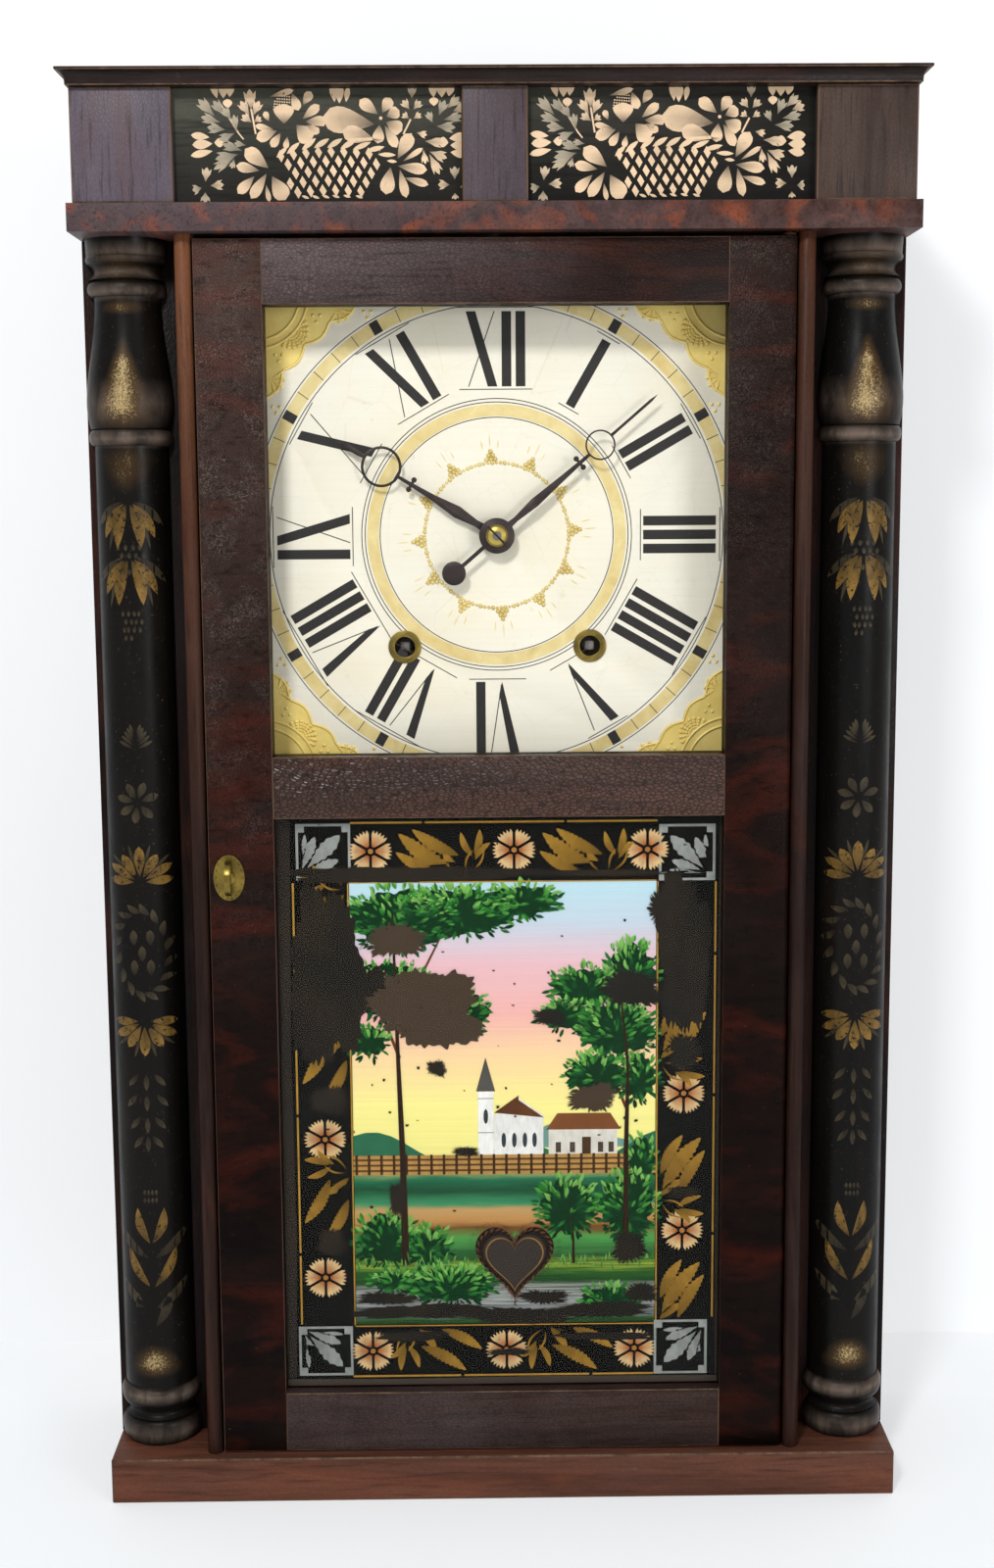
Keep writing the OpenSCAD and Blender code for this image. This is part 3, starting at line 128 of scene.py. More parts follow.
class ClockSizes(bpy.types.PropertyGroup):
    """Sizes of the ornament, in millimetres."""
    edge: size_prop("Worn edge", "Rounding of the case's edges", 0.9, 0.2, 2.0)
    door_edge: size_prop("Door edge", "Rounding of the door's edges", 0.45, 0.1, 1.5)
    paint: size_prop("Paint", "Thickness of painted ornament", 0.04, 0.02, 0.2)
    line: size_prop("Line", "Width of the dial's thin circles", 0.5, 0.2, 1.0)
    stroke: size_prop("Numeral stroke", "Width of a numeral's thick stroke", 5.3, 4.0, 7.0)
    numeral_in: size_prop("Numeral foot", "Radius of the numerals' feet", 81.5, 70.0, 90.0)
    numeral_out: size_prop("Numeral head", "Radius of the numerals' heads", 122.0, 110.0, 125.0)
    bead: size_prop("Bead", "Radius of the gilt beads round the middle", 1.12, 0.5, 1.5)
    strand: size_prop("Cord lay", "Length of one turn of the cords' strands", 7.0, 4.0, 12.0)


# ---- materials ----

class Finish:
    """A material built up from patterns that read the piece's own Object coordinates."""

    def __init__(self, name, gloss=0.4, metal=0.0, **shader):
        self.material = bpy.data.materials.new(name)
        self.material.use_nodes = True
        self.tree = self.material.node_tree
        self.shader = next(n for n in self.tree.nodes if n.type == "BSDF_PRINCIPLED")
        self.shader.inputs["Roughness"].default_value = gloss
        self.shader.inputs["Metallic"].default_value = metal
        for socket, value in shader.items():
            self.shader.inputs[socket.replace("_", " ")].default_value = value
        self.normal = None

    def plug(self, node, sockets):
        """Links a node's inputs to other nodes' outputs, or sets them."""
        for key, value in sockets.items():
            if isinstance(value, bpy.types.NodeSocket):
                self.tree.links.new(value, node.inputs[key])
            else:
                node.inputs[key].default_value = value

    def add(self, kind, sockets, **settings):
        node = self.tree.nodes.new("ShaderNode" + kind)
        for key, value in settings.items():
            setattr(node, key, value)
        self.plug(node, sockets)
        return node

    def coords(self):
        return self.add("TexCoord", {}).outputs["Object"]

    def place(self, scale, shift):
        return self.add("Mapping", {"Vector": self.coords(), "Scale": scale,
                                    "Location": (shift, shift * 0.7, -shift)}).outputs["Vector"]

    def noise(self, scale, detail=4.0, rough=0.55, warp=0.0, shift=0.0):
        """Cloudy pattern; scale is how many clouds there are to a metre along X, Y and Z."""
        return self.add("TexNoise", {"Vector": self.place(scale, shift), "Scale": 1.0, "Detail": detail,
                                     "Roughness": rough, "Distortion": warp}).outputs["Fac"]

    def cells(self, scale, shift=0.0):
        """Distance to the nearest line of an uneven net."""
        return self.add("TexVoronoi", {"Vector": self.place(scale, shift), "Scale": 1.0},
                        feature="DISTANCE_TO_EDGE").outputs["Distance"]

    def maths(self, operation, a, b=0.0):
        return self.add("Math", {0: a, 1: b}, operation=operation).outputs[0]

    def reach(self, axis):
        """Object coordinate along an axis, in millimetres."""
        return self.maths("MULTIPLY", self.add("SeparateXYZ", {"Vector": self.coords()}).outputs[axis], 1 / MM)

    def away(self, value, middle):
        """How far a value is from a middle one."""
        return self.maths("ABSOLUTE", self.maths("SUBTRACT", value, middle))

    def own_tint(self):
        """Colour that a painted piece carries at each of its points."""
        return self.add("Attribute", {}, attribute_name="tint").outputs["Color"]

    def spread(self, value, low, high, to_low=0.0, to_high=1.0):
        """Maps low..high of a value to to_low..to_high, and no further."""
        return self.add("MapRange", {"Value": value, "From Min": low, "From Max": high, "To Min": to_low,
                                     "To Max": to_high}, clamp=True).outputs["Result"]

    def ramp(self, value, stops):
        """Colour band; each stop is a place from 0 to 1 and a colour."""
        node = self.add("ValToRGB", {"Fac": value})
        band = node.color_ramp.elements
        while len(band) < len(stops):
            band.new(0.5)
        for element, (at, colour) in zip(band, stops):
            element.position = at
            element.color = (*tint(colour), 1.0)
        return node.outputs["Color"]

    def mix(self, share, a, b):
        """Share of colour b over colour a. A Mix node's colours are its sockets 6 and 7, and its output 2."""
        sockets = {0: share}
        for index, value in ((6, a), (7, b)):
            sockets[index] = value if isinstance(value, bpy.types.NodeSocket) else (*tint(value), 1.0)
        node = self.add("Mix", {}, data_type="RGBA")
        self.plug(node, sockets)
        return node.outputs[2]

    def set(self, socket, value):
        self.tree.links.new(value, self.shader.inputs[socket])

    def relief(self, height, depth):
        """Raises the surface by a pattern; depth is in millimetres."""
        sockets = {"Height": height, "Strength": 1.0, "Distance": depth * MM}
        if self.normal:
            sockets["Normal"] = self.normal
        self.normal = self.add("Bump", sockets).outputs["Normal"]
        self.set("Normal", self.normal)


# Clouds of a wood's figure to a metre along X, Y and Z, by the way its grain runs
LONG = 5
ALONG = {"X": (LONG, 75, 75), "Y": (75, LONG, 75), "Z": (75, 75, LONG), "banded": (17, 52, 52)}


def shellacked(name, dark, light, flash, along="Z", craze=0.0, craze_size=3.0, gloss=0.36,
               flashes=0.35, shift=0.0, bloom=0.1, painted_sheen=None, shine=0.08, curl_glints=0.0):
    """Old shellac over veneer: figure, pores, bloom, rubbed spots and crazing. The sheen argument is the
    heights where a painted sheen of the lamp light starts and is full, its colour, and its share at
    the left and at the right; a share below nought paints shade there. The glint argument is how
    light the painted glints on crazed flakes are where there is painted sheen."""
    wood = Finish(name, gloss, Specular_IOR_Level=shine)
    long = ALONG[along]
    figure = wood.noise(long, 6, 0.62, 0.6, shift)
    pores = wood.noise([n * 7 for n in long], 3, 0.5, 0.0, shift)
    cloud = wood.noise((11, 11, 11), 5, 0.6, 0.4, shift + 3)
    streak = wood.noise([n * 0.5 + 4 for n in long], 3, 0.5, 1.2, shift + 7)
    rub = wood.noise((260, 260, 260), 5, 0.7, 0.0, shift + 11)
    colour = wood.ramp(figure, [(0.32, dark), (0.66, light)])
    # painted sheen: lighter towards the top and the left, where the lamp light falls on the shellac; a share below
    # nought at the right paints shade there
    if painted_sheen:
        low, high, tone, left, right = painted_sheen
        rise = wood.maths("POWER", wood.spread(wood.reach("Z"), low, high), 2.0)
        patchy = wood.maths("MULTIPLY", rise, wood.spread(cloud, 0.3, 0.62, 0.6, 1.0))
        patchy = wood.maths("MULTIPLY", patchy, wood.spread(wood.reach("X"), -190.0, 170.0, left, right))
        colour = wood.mix(patchy, colour, tone)
    colour = wood.mix(wood.spread(streak, 0.5, 0.78, 0.0, flashes), colour, flash)
    colour = wood.mix(wood.spread(pores, 0.46, 0.3, 0.0, 0.5), colour, dimmed(dark, 0.5))
    colour = wood.mix(wood.spread(cloud, 0.5, 0.78, 0.0, bloom), colour, "5a4f50")
    colour = wood.mix(wood.spread(rub, 0.66, 0.74, 0.0, 0.25), colour, "7c6a60")
    # painted glints: light squiggles where crazed flakes of shellac catch the light, within the painted sheen
    if curl_glints:
        lifted = wood.noise((430, 430, 430), 3, 0.6, 0.8, shift + 15)
        where = wood.noise((60, 60, 60), 3, 0.6, 0.0, shift + 19)
        flake = wood.maths("MULTIPLY", wood.spread(wood.away(lifted, 0.5), 0.0, 0.035, curl_glints, 0.0),
                           wood.spread(where, 0.42, 0.66))
        flake_glints = wood.maths("MULTIPLY", flake, wood.spread(patchy, 0.05, 0.35))
        colour = wood.mix(flake_glints, colour, "978a80")
        wood.relief(flake_glints, 0.2)
    if craze:
        cracks = wood.cells([1 / MM / craze_size * (0.6 if n == LONG else 1.0) for n in long], shift)
        colour = wood.mix(wood.spread(cracks, 0.0, 0.16, craze * 0.8, 0.0), colour, dimmed(dark, 0.5))
        wood.relief(wood.spread(cracks, 0.0, 0.3), 0.16 * craze)
    wood.relief(pores, 0.04)
    wood.relief(cloud, 0.35)
    wood.set("Base Color", colour)
    wood.set("Roughness", wood.spread(cloud, 0.35, 0.75, gloss - 0.06, gloss + 0.2))
    return wood.material


def bare_wood(name, dark, light, gloss=0.62, shift=0.0):
    """Unfinished upright wood, toned by age: growth rings, pores and dirt."""
    wood = Finish(name, gloss)
    long = ALONG["Z"]
    rings = wood.noise([n * 0.6 for n in long], 4, 0.5, 2.2, shift)
    pores = wood.noise([n * 6 for n in long], 4, 0.6, 0.0, shift)
    dirt = wood.noise((14, 14, 14), 5, 0.65, 0.3, shift + 5)
    colour = wood.ramp(rings, [(0.3, dark), (0.47, light), (0.55, dark), (0.7, light)])
    colour = wood.mix(wood.spread(pores, 0.5, 0.34, 0.0, 0.5), colour, dimmed(dark, 0.5))
    colour = wood.mix(wood.spread(dirt, 0.5, 0.75, 0.0, 0.45), colour, "3a2c20")
    wood.relief(pores, 0.12)
    wood.relief(rings, 0.08)
    wood.set("Base Color", colour)
    return wood.material


def old_metal(name, light, dark, gloss=0.34, metal=1.0, spots=0.5, fine=160.0):
    """Metal with darkened patches, pin pricks and rubbed scratches."""
    brass = Finish(name, gloss, metal)
    patch = brass.noise((fine * 0.35,) * 3, 5, 0.62, 0.5)
    prick = brass.noise((fine * 6,) * 3, 3, 0.6)
    rubbed = brass.noise((fine * 7, fine * 7, fine * 0.7), 2, 0.5)
    colour = brass.ramp(patch, [(0.34, light), (0.7, dark)])
    colour = brass.mix(brass.spread(prick, 0.62, 0.72, 0.0, spots), colour, dimmed(dark, 0.5))
    brass.set("Base Color", colour)
    brass.set("Roughness", brass.spread(patch, 0.3, 0.75, gloss - 0.08, gloss + 0.25))
    brass.relief(prick, 0.03)
    brass.relief(rubbed, 0.015)
    return brass.material


def brushed_paint(name, gloss, metal, grain, worn, worn_share, streaks, relief=0.02, shine=0.3):
    """Paint that takes its colour from the piece's own tint, with brush marks and small losses."""
    paint = Finish(name, gloss, metal, Specular_IOR_Level=shine)
    brush = paint.noise(streaks, 5, 0.6, 0.6)
    speck = paint.noise((900, 900, 900), 3, 0.6)
    shade = paint.mix(paint.spread(brush, 0.3, 0.7, grain, 0.0), paint.own_tint(), (0.005, 0.0045, 0.004))
    if worn:
        lost = paint.noise((420, 420, 420), 4, 0.7)
        shade = paint.mix(paint.spread(lost, 0.7 - worn_share, 0.74 - worn_share), shade, worn)
    shade = paint.mix(paint.spread(speck, 0.64, 0.74, 0.0, grain), shade, (0.008, 0.007, 0.006))
    paint.set("Base Color", shade)
    paint.relief(brush, relief)
    return paint.material


def dial_paint(name, cream):
    """Cream oil paint with fine brushing, yellowed clouds, faint cracks and smoke."""
    paint = Finish(name, 0.46)
    brush = paint.noise((14, 60, 620), 3, 0.5)
    cloud = paint.noise((16, 16, 16), 5, 0.6, 0.3)
    crack = paint.cells((34, 34, 26), shift=2)
    dirt = paint.noise((120, 120, 120), 6, 0.72)
    colour = paint.mix(paint.spread(cloud, 0.42, 0.72, 0.0, 0.5), cream, "e2d6b4")
    colour = paint.mix(paint.spread(brush, 0.42, 0.6, 0.0, 0.16), colour, "d9d3bf")
    colour = paint.mix(paint.spread(crack, 0.0, 0.006, 0.16, 0.0), colour, "a79c80")
    colour = paint.mix(paint.spread(dirt, 0.62, 0.75, 0.0, 0.35), colour, "b9aa86")
    paint.set("Base Color", colour)
    paint.relief(brush, 0.02)
    paint.relief(paint.spread(crack, 0.0, 0.012), 0.02)
    return paint.material


def ebonised(name, black, powder, rings, dust):
    """Worn black paint; rings are heights in millimetres where the paint is rubbed to brown and where a
    painted sheen lies on the turned rings and the vase, and
    dust is patches of bronze powder on the front: two heights, half widths there, strength."""
    paint = Finish(name, 0.3, Specular_IOR_Level=0.09)
    wear = paint.noise((70, 70, 30), 6, 0.65, 0.4)
    brown = paint.noise((22, 22, 5), 4, 0.6, 0.4, 2.0)
    prick = paint.noise((700, 700, 700), 4, 0.7)
    fleck = paint.noise((1100, 1100, 1100), 4, 0.65)
    colour = paint.mix(paint.spread(brown, 0.42, 0.72, 0.0, 0.6), black, "1a1511")
    colour = paint.mix(paint.spread(prick, 0.64, 0.72, 0.0, 0.45), colour, "7a6a50")
    z = paint.reach("Z")
    # rubbed brown bands at the turned rings and round the vase, which also stand for a painted sheen of light on them
    for at, half, strength in rings:
        near = paint.spread(paint.away(z, at), 0.0, half, strength, 0.0)
        patchy = paint.maths("MULTIPLY", near, paint.spread(wear, 0.38, 0.62, 0.25, 1.0))
        colour = paint.mix(patchy, colour, "75655a")
    side = paint.away(paint.maths("ABSOLUTE", paint.reach("X")), COLUMN_X)
    specks = paint.maths("ADD", paint.maths("MULTIPLY", fleck, 0.6), paint.maths("MULTIPLY", wear, 0.4))
    for low, high, wide_low, wide_high, strength in dust:
        wide = paint.spread(z, low, high, wide_low, wide_high)
        near = paint.spread(paint.maths("DIVIDE", side, wide), 0.1, 1.15, strength, 0.0)
        edge = min(abs(high - low) * 0.5, 12.0)
        near = paint.maths("MULTIPLY", near, paint.spread(z, low - edge * 0.6, low + edge * 0.6))
        near = paint.maths("MULTIPLY", near, paint.spread(z, high + edge * 0.6, high - edge * 0.6))
        colour = paint.mix(paint.spread(near, 0.1, 1.1, 0.0, 0.55), colour, "6b4f2c")
        limit = paint.maths("SUBTRACT", specks, paint.maths("SUBTRACT", 0.66, paint.maths("MULTIPLY", near, 0.24)))
        shown = paint.maths("MULTIPLY", paint.spread(near, 0.0, 0.8, 0.0, 0.6), paint.spread(limit, 0.0, 0.14))
        colour = paint.mix(shown, colour, powder)
    paint.set("Base Color", colour)
    paint.set("Roughness", paint.spread(wear, 0.3, 0.7, 0.24, 0.5))
    paint.relief(wear, 0.12)
    paint.relief(prick, 0.03)
    return paint.material


def old_glass(name):
    """Clear old glass with slow waves in its face; what it mirrors grows towards the edge."""
    glass = Finish(name, 0.03, 1.0)
    glass.shader.inputs["Base Color"].default_value = (*tint("dfe8e6"), 1.0)
    mirror = glass.add("Fresnel", {"IOR": 1.45}).outputs["Fac"]
    glass.set("Alpha", glass.spread(mirror, 0.03, 0.6, 0.004, 0.18))
    glass.relief(glass.noise((14, 14, 9), 2, 0.4), 0.35)
    glass.material.use_transparent_shadow = True
    return glass.material


def fallen_paint(name):
    """Dull browned backing that shows where the tablet's paint has flaked off; it also fills the heart
    window as a dark sheet of painted shade.
    """
    paint = Finish(name, 0.7, Specular_IOR_Level=0.0)
    cloud = paint.noise((16, 16, 16), 5, 0.6, 0.6)
    speck = paint.noise((900, 900, 900), 3, 0.6)
    shade = paint.mix(paint.spread(cloud, 0.45, 0.7, 0.0, 0.3), paint.own_tint(), "3f3122")
    shade = paint.mix(paint.spread(speck, 0.66, 0.7, 0.0, 0.35), shade, "6e665c")
    paint.set("Base Color", shade)
    paint.relief(cloud, 0.03)
    return paint.material


def landscape_sky(name):
    """Sky, meadow, path, bank and water of the tablet, washed on in level strokes."""
    low, high = 97.0, 358.0
    paint = Finish(name, 0.5, Specular_IOR_Level=0.0)
    drift = paint.noise((22, 22, 160), 5, 0.6, 0.3)
    streak = paint.noise((7, 7, 1000), 5, 0.7)
    fine = paint.noise((30, 30, 2200), 3, 0.6)
    z = paint.maths("ADD", paint.reach("Z"), paint.spread(drift, 0.3, 0.7, -1.6, 1.6))
    share = paint.spread(z, low, high)
    bands = ((98, "1d2a17"), (101, "2c5a26"), (104, "6f7073"), (113, "a9aaa8"), (121, "8d9088"), (123, "1b4419"),
             (129, "2a5f20"), (134, "93ac3a"), (138, "245c2c"), (150, "4b9448"), (155, "6b3f1a"), (160, "b5854c"),
             (166, "bb945f"), (170, "35865a"), (178, "0c4229"), (185, "1f6a48"), (196, "e9e086"), (228, "f0e68e"),
             (254, "efd09a"), (280, "e8aea6"), (310, "dfb4ba"), (333, "bccad6"), (352, "b4d3dd"))
    colour = paint.ramp(share, [((at - low) / (high - low), code) for at, code in bands])
    colour = paint.mix(paint.spread(streak, 0.4, 0.75, 0.0, 0.12), colour, dimmed("8a7a62", 0.8))
    ground = paint.spread(z, 150.0, 138.0, 0.0, 0.75)
    strokes = paint.maths("MULTIPLY", ground, paint.spread(fine, 0.42, 0.6))
    colour = paint.mix(strokes, colour, "12331a")
    paint.set("Base Color", colour)
    paint.relief(streak, 0.02)
    return paint.material


def twisted_cord(name):
    """Grey-brown linen cord, dirtied by handling."""
    cord = Finish(name, 0.85)
    fibre = cord.noise((900, 900, 260), 4, 0.6, 1.0)
    dirt = cord.noise((30, 30, 30), 4, 0.6)
    colour = cord.ramp(fibre, [(0.3, "5a4a30"), (0.7, "a08b62")])
    cord.set("Base Color", cord.mix(cord.spread(dirt, 0.45, 0.7, 0.0, 0.6), colour, "40352a"))
    cord.relief(fibre, 0.08)
    return cord.material


FINISHES = {}


def make_finishes():
    """Every finish of the clock, by the record's material slots and by its own name."""
    c = bpy.context.scene.clock_colours
    rings = [(CASE_Z0 + 7, 7, 0.6), (CASE_Z0 + 30, 5, 0.9), (601.5, 5.5, 0.8), (679, 5, 0.6), (689, 4, 0.4),
             (700, 6, 0.8), (620, 14, 0.4)]
    dust = [(611, 650, 18, 4, 1.05), (668, 674, 13, 13, 0.6), (576, 596, 11, 18, 0.5), (70, 84, 16, 10, 0.95),
            (684, 702, 18, 18, 0.35)]
    # Some finishes below are given a painted sheen: lighter towards the top and the left, where the lamp light falls on
    # their shellac. The top door rail's is darker to the right, painted shade, and the door's crazed flakes carry
    # painted glints.
    FINISHES.update({
        "dark_mahogany": shellacked("Side mahogany", "120c0b", "2a201d", "6d3a26", "X", 0.25,
                                    2.0, flashes=0.2, shine=0.12),
        "upright_mahogany": shellacked("Upright mahogany", c.wood_dark, c.wood_light, c.wood_flash,
                                       "Z", 0.3, 2.4, flashes=0.25, shift=4.0),
        "block_mahogany": shellacked("Block mahogany", "291f1c", "493b35", "5a3627", "Z", 0.25, 1.6,
                                     flashes=0.4, shift=9.0, bloom=0.2, shine=0.1,
                                     painted_sheen=(600, 720, "625a66", 0.85, 0.0)),
        "cornice_mahogany": shellacked("Cornice mahogany", "2c1b18", "513a36", "8a4529", "Y", 0.2,
                                       1.8, flashes=0.75, shift=2.0, painted_sheen=(600, 700, "564c50", 0.6, 0.0)),
        "base_mahogany": shellacked("Base mahogany", "45291f", "643f31", "844a32", "X", 0.2, 2.2,
                                    flashes=0.5, shift=6.0),
        "bead_mahogany": shellacked("Bead mahogany", "190e0b", c.bead_light, "5c3020", "Z", 0.2, 1.8,
                                    flashes=0.4, shift=1.0, painted_sheen=(350, 700, "75492f", 0.95, 0.25)),
        "door_mahogany": shellacked("Door mahogany", "070302", "170a06", "6a2311", "banded", 0.5, 1.6,
                                    flashes=0.27, shift=8.0, bloom=0.04, shine=0.05, curl_glints=0.4,
                                    painted_sheen=(150, 700, "4a3832", 1.0, 0.25)),
        "door_rail_mahogany": shellacked("Door rail mahogany", "0f0908", "261915", "4a2214", "X",
                                         0.6, 1.6, flashes=0.6, shift=5.0, bloom=0.2, curl_glints=0.4,
                                         painted_sheen=(600, 700, "6f5f60", 1.05, -0.45)),
        "bottom_rail_mahogany": shellacked("Bottom rail mahogany", "221815", "40322e", "43261b", "X",
                                           0.6, 1.6, flashes=0.4, shift=15.0, bloom=0.4),
        "crackled_mahogany": shellacked("Alligatored shellac", "30201a", "533a30", "6a3626", "X",
                                        1.5, 1.8, gloss=0.32, flashes=0.3, shift=3.0, shine=0.2),
        "worn_edge": shellacked("Worn edge", "3a2a20", "6d5646", "8a6a4c", "Z", 0.0, shift=12.0,
                                gloss=0.45, flashes=0.5),
        "ebonised_wood": ebonised("Ebonised column", c.black_paint, "d0b884", rings, dust),
        "stencilled_panel": shellacked("Black frieze ground", "0b0a08", "1b1a16", "2a2822", "X",
                                       0.1, 3.0, gloss=0.46, flashes=0.3, shift=5.5, bloom=0.1, shine=0.08,
                                       painted_sheen=(715, 770, "57574c", 0.8, 0.0)),
        "old_pine": bare_wood("Old pine", "84603a", "a17a4d"),
        "painted_dial": dial_paint("Dial paint", c.dial_cream),
        "brass": old_metal("Old brass", c.brass, "4d4423", 0.32),
        "hand_steel": old_metal("Browned steel", c.hand, "231b19", 0.42, 0.7, 0.4, 220),
        "steel_wire": old_metal("Steel wire", "8b8782", "4b4540", 0.4),
        "iron": old_metal("Cast iron", "33302e", "4d2d1d", 0.68, 0.55, 0.6, 90),
        "oak": bare_wood("Oak", "7a5630", "a7804f", 0.55, 2.0),
        "cherry": bare_wood("Cherry", "713a1d", "a8643a", 0.5, 4.0),
        "bob_brass": old_metal("Bob brass", "a98d4a", "5d4f2a", 0.36, 1.0, 0.6, 120),
        "dome_brass": old_metal("Rubbed brass", "cdb45a", "8a7a38", 0.3, 0.75, 0.4, 200),
        "cord": twisted_cord("Linen cord"),
        "clear_glass": old_glass("Old glass"),
        "gilt": old_metal("Gilding", c.gilt, "e0c264", 0.4, 0.15, 0.1, 120),
        "pale_gilt": old_metal("Worn gilding", "e2d196", "cdb470", 0.45, 0.12, 0.2, 150),
        "raised_gilt": old_metal("Raised gilding", "e3cf84", "c9b05e", 0.3, 0.2, 0.08, 200),
        "ink": brushed_paint("Dial black", 0.55, 0.0, 0.25, c.dial_cream, -0.02, (90, 90, 90)),
        "stencil": brushed_paint("Frieze stencil", 0.5, 0.0, 0.3, "2a251c", 0.03, (40, 40, 40)),
        "powder": brushed_paint("Column stencil", 0.42, 0.2, 0.7, "17140f", 0.13, (150, 150, 90), 0.02, 0.15),
        "border": brushed_paint("Tablet stencil", 0.5, 0.0, 0.35, "1a1410", 0.03, (180, 180, 120), 0.02, 0.0),
        "picture": brushed_paint("Tablet oils", 0.5, 0.0, 0.25, None, 0.0, (240, 240, 90), 0.04, 0.0),
        "tablet_ground": brushed_paint("Tablet black", 0.5, 0.0, 0.3, None, 0.0, (60, 60, 60), 0.01, 0.0),
        "backing_and_shade": fallen_paint("Fallen paint"),
        "faint_powder": brushed_paint("Faded stencil", 0.42, 0.1, 0.6, "17140f", 0.08, (150, 150, 90), 0.02, 0.15),
        "sky": landscape_sky("Tablet sky"),
    })


# ---- modelling ----

def only(piece):
    """Makes piece the one selected and active object."""
    bpy.ops.object.select_all(action="DESELECT")
    piece.select_set(True)
    bpy.context.view_layer.objects.active = piece


def at_depth(d):
    """World Y of a depth behind the case's face, in millimetres; negative ones lie before it."""
    return FACE + d * MM


def settle(piece, finish, body="root"):
    """Applies the piece's place, gives it its finish and lets it move with its body."""
    only(piece)
    bpy.ops.object.transform_apply(location=True, rotation=True, scale=True)
    if finish:
        piece.data.materials.clear()
        piece.data.materials.append(FINISHES[finish])
    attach(piece, body)
    return piece


def added(name, data):
    """A new object of the scene, selected alone."""
    piece = bpy.data.objects.new(name, data)
    bpy.context.scene.collection.objects.link(piece)
    only(piece)
    return piece


def softened(node, finish, bevel, segments=2, worn=None):
    """Copy of a CAD node with worn edges and smooth turned faces, which stands for it. Without a
    finish it takes the one of its slot."""
    piece = added("soft_" + node, NODES[node].data.copy())
    if piece.data.has_custom_normals:
        bpy.ops.mesh.customdata_custom_splitnormals_clear()
    bpy.ops.object.mode_set(mode="EDIT")
    bpy.ops.mesh.select_all(action="SELECT")
    bpy.ops.mesh.remove_doubles(threshold=0.00001)
    bpy.ops.mesh.dissolve_limited(angle_limit=math.radians(0.4))
    bpy.ops.object.mode_set(mode="OBJECT")
    piece.data.materials.clear()
    piece.data.materials.append(FINISHES[finish or SLOT_OF[node]])
    if bevel:
        edge = piece.modifiers.new("Worn edge", "BEVEL")
        edge.width = bevel * MM
        edge.segments = segments
        edge.angle_limit = math.radians(35)
        if worn:
            piece.data.materials.append(FINISHES[worn])
            edge.material = 1
        bpy.ops.object.modifier_apply(modifier=edge.name)
    bpy.ops.object.shade_smooth_by_angle(angle=math.radians(32))
    settle(piece, None, BODY_OF[node])
    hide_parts(node)
    return piece


def meshed(name, curve, threshold):
    """Turns a curve into a closed mesh that faces outwards."""
    added(name, curve)
    bpy.ops.object.convert(target="MESH")
    bpy.ops.object.mode_set(mode="EDIT")
    bpy.ops.mesh.select_all(action="SELECT")
    bpy.ops.mesh.remove_doubles(threshold=threshold)
    bpy.ops.mesh.normals_make_consistent(inside=False)
    bpy.ops.object.mode_set(mode="OBJECT")
    return bpy.context.object


def cut_shapes(name, shapes, depth, finish, body="root", thick=None):
    """Closed outlines in X and Z, each with its tint or its two tints, filled and made thin solids.
    An outline's third number says how far it is from the first tint to the second."""
    thick = thick or bpy.context.scene.clock_sizes.paint
    curve = bpy.data.curves.new(name, "CURVE")
    curve.dimensions = "2D"
    curve.fill_mode = "BOTH"
    curve.extrude = thick / 2
    tints = {}
    for outline, colours in shapes:
        first, last = (tint(colour) for colour in (colours if len(colours) == 2 else (colours, colours)))
        spline = curve.splines.new("POLY")
        spline.points.add(len(outline) - 1)
        for point, place in zip(spline.points, outline):
            x, z = round(place[0], 3), round(place[1], 3)
            point.co = (x, z, 0.0, 1.0)
            share = place[2] if len(place) > 2 else 0.0
            tints[x, z] = [a + (b - a) * share for a, b in zip(first, last)] + [1.0]
        spline.use_cyclic_u = True
    piece = meshed(name, curve, 0.0001)
    own = piece.data.attributes.new("tint", "FLOAT_COLOR", "POINT")
    plain = next(iter(tints.values()))
    for vertex, value in zip(piece.data.vertices, own.data):
        value.color = tints.get((round(vertex.co.x, 3), round(vertex.co.y, 3)), plain)
    piece.rotation_euler = (math.radians(90), 0, 0)
    piece.scale = (MM, MM, MM)
    piece.location = (0, at_depth(depth - thick / 2), 0)
    return settle(piece, finish, body)


def wire(name, runs, radius, finish, body="root", sides=2):
    """Round wires along runs of places given as X, depth and Z, in millimetres."""
    curve = bpy.data.curves.new(name, "CURVE")
    curve.dimensions = "3D"
    curve.bevel_depth = radius * MM
    curve.bevel_resolution = sides
    curve.use_fill_caps = True
    for run in runs:
        spline = curve.splines.new("POLY")
        spline.points.add(len(run) - 1)
        for point, (x, d, z) in zip(spline.points, run):
            point.co = (x * MM, at_depth(d), z * MM, 1.0)
    piece = meshed(name, curve, 0.000001)
    bpy.ops.object.shade_smooth_by_angle(angle=math.radians(50))
    return settle(piece, finish, body)


def joined(name, pieces):
    """Joins pieces into one mesh."""
    bpy.ops.object.select_all(action="DESELECT")
    for piece in pieces:
        piece.select_set(True)
    bpy.context.view_layer.objects.active = pieces[0]
    if len(pieces) > 1:
        bpy.ops.object.join()
    pieces[0].name = name
    return pieces[0]


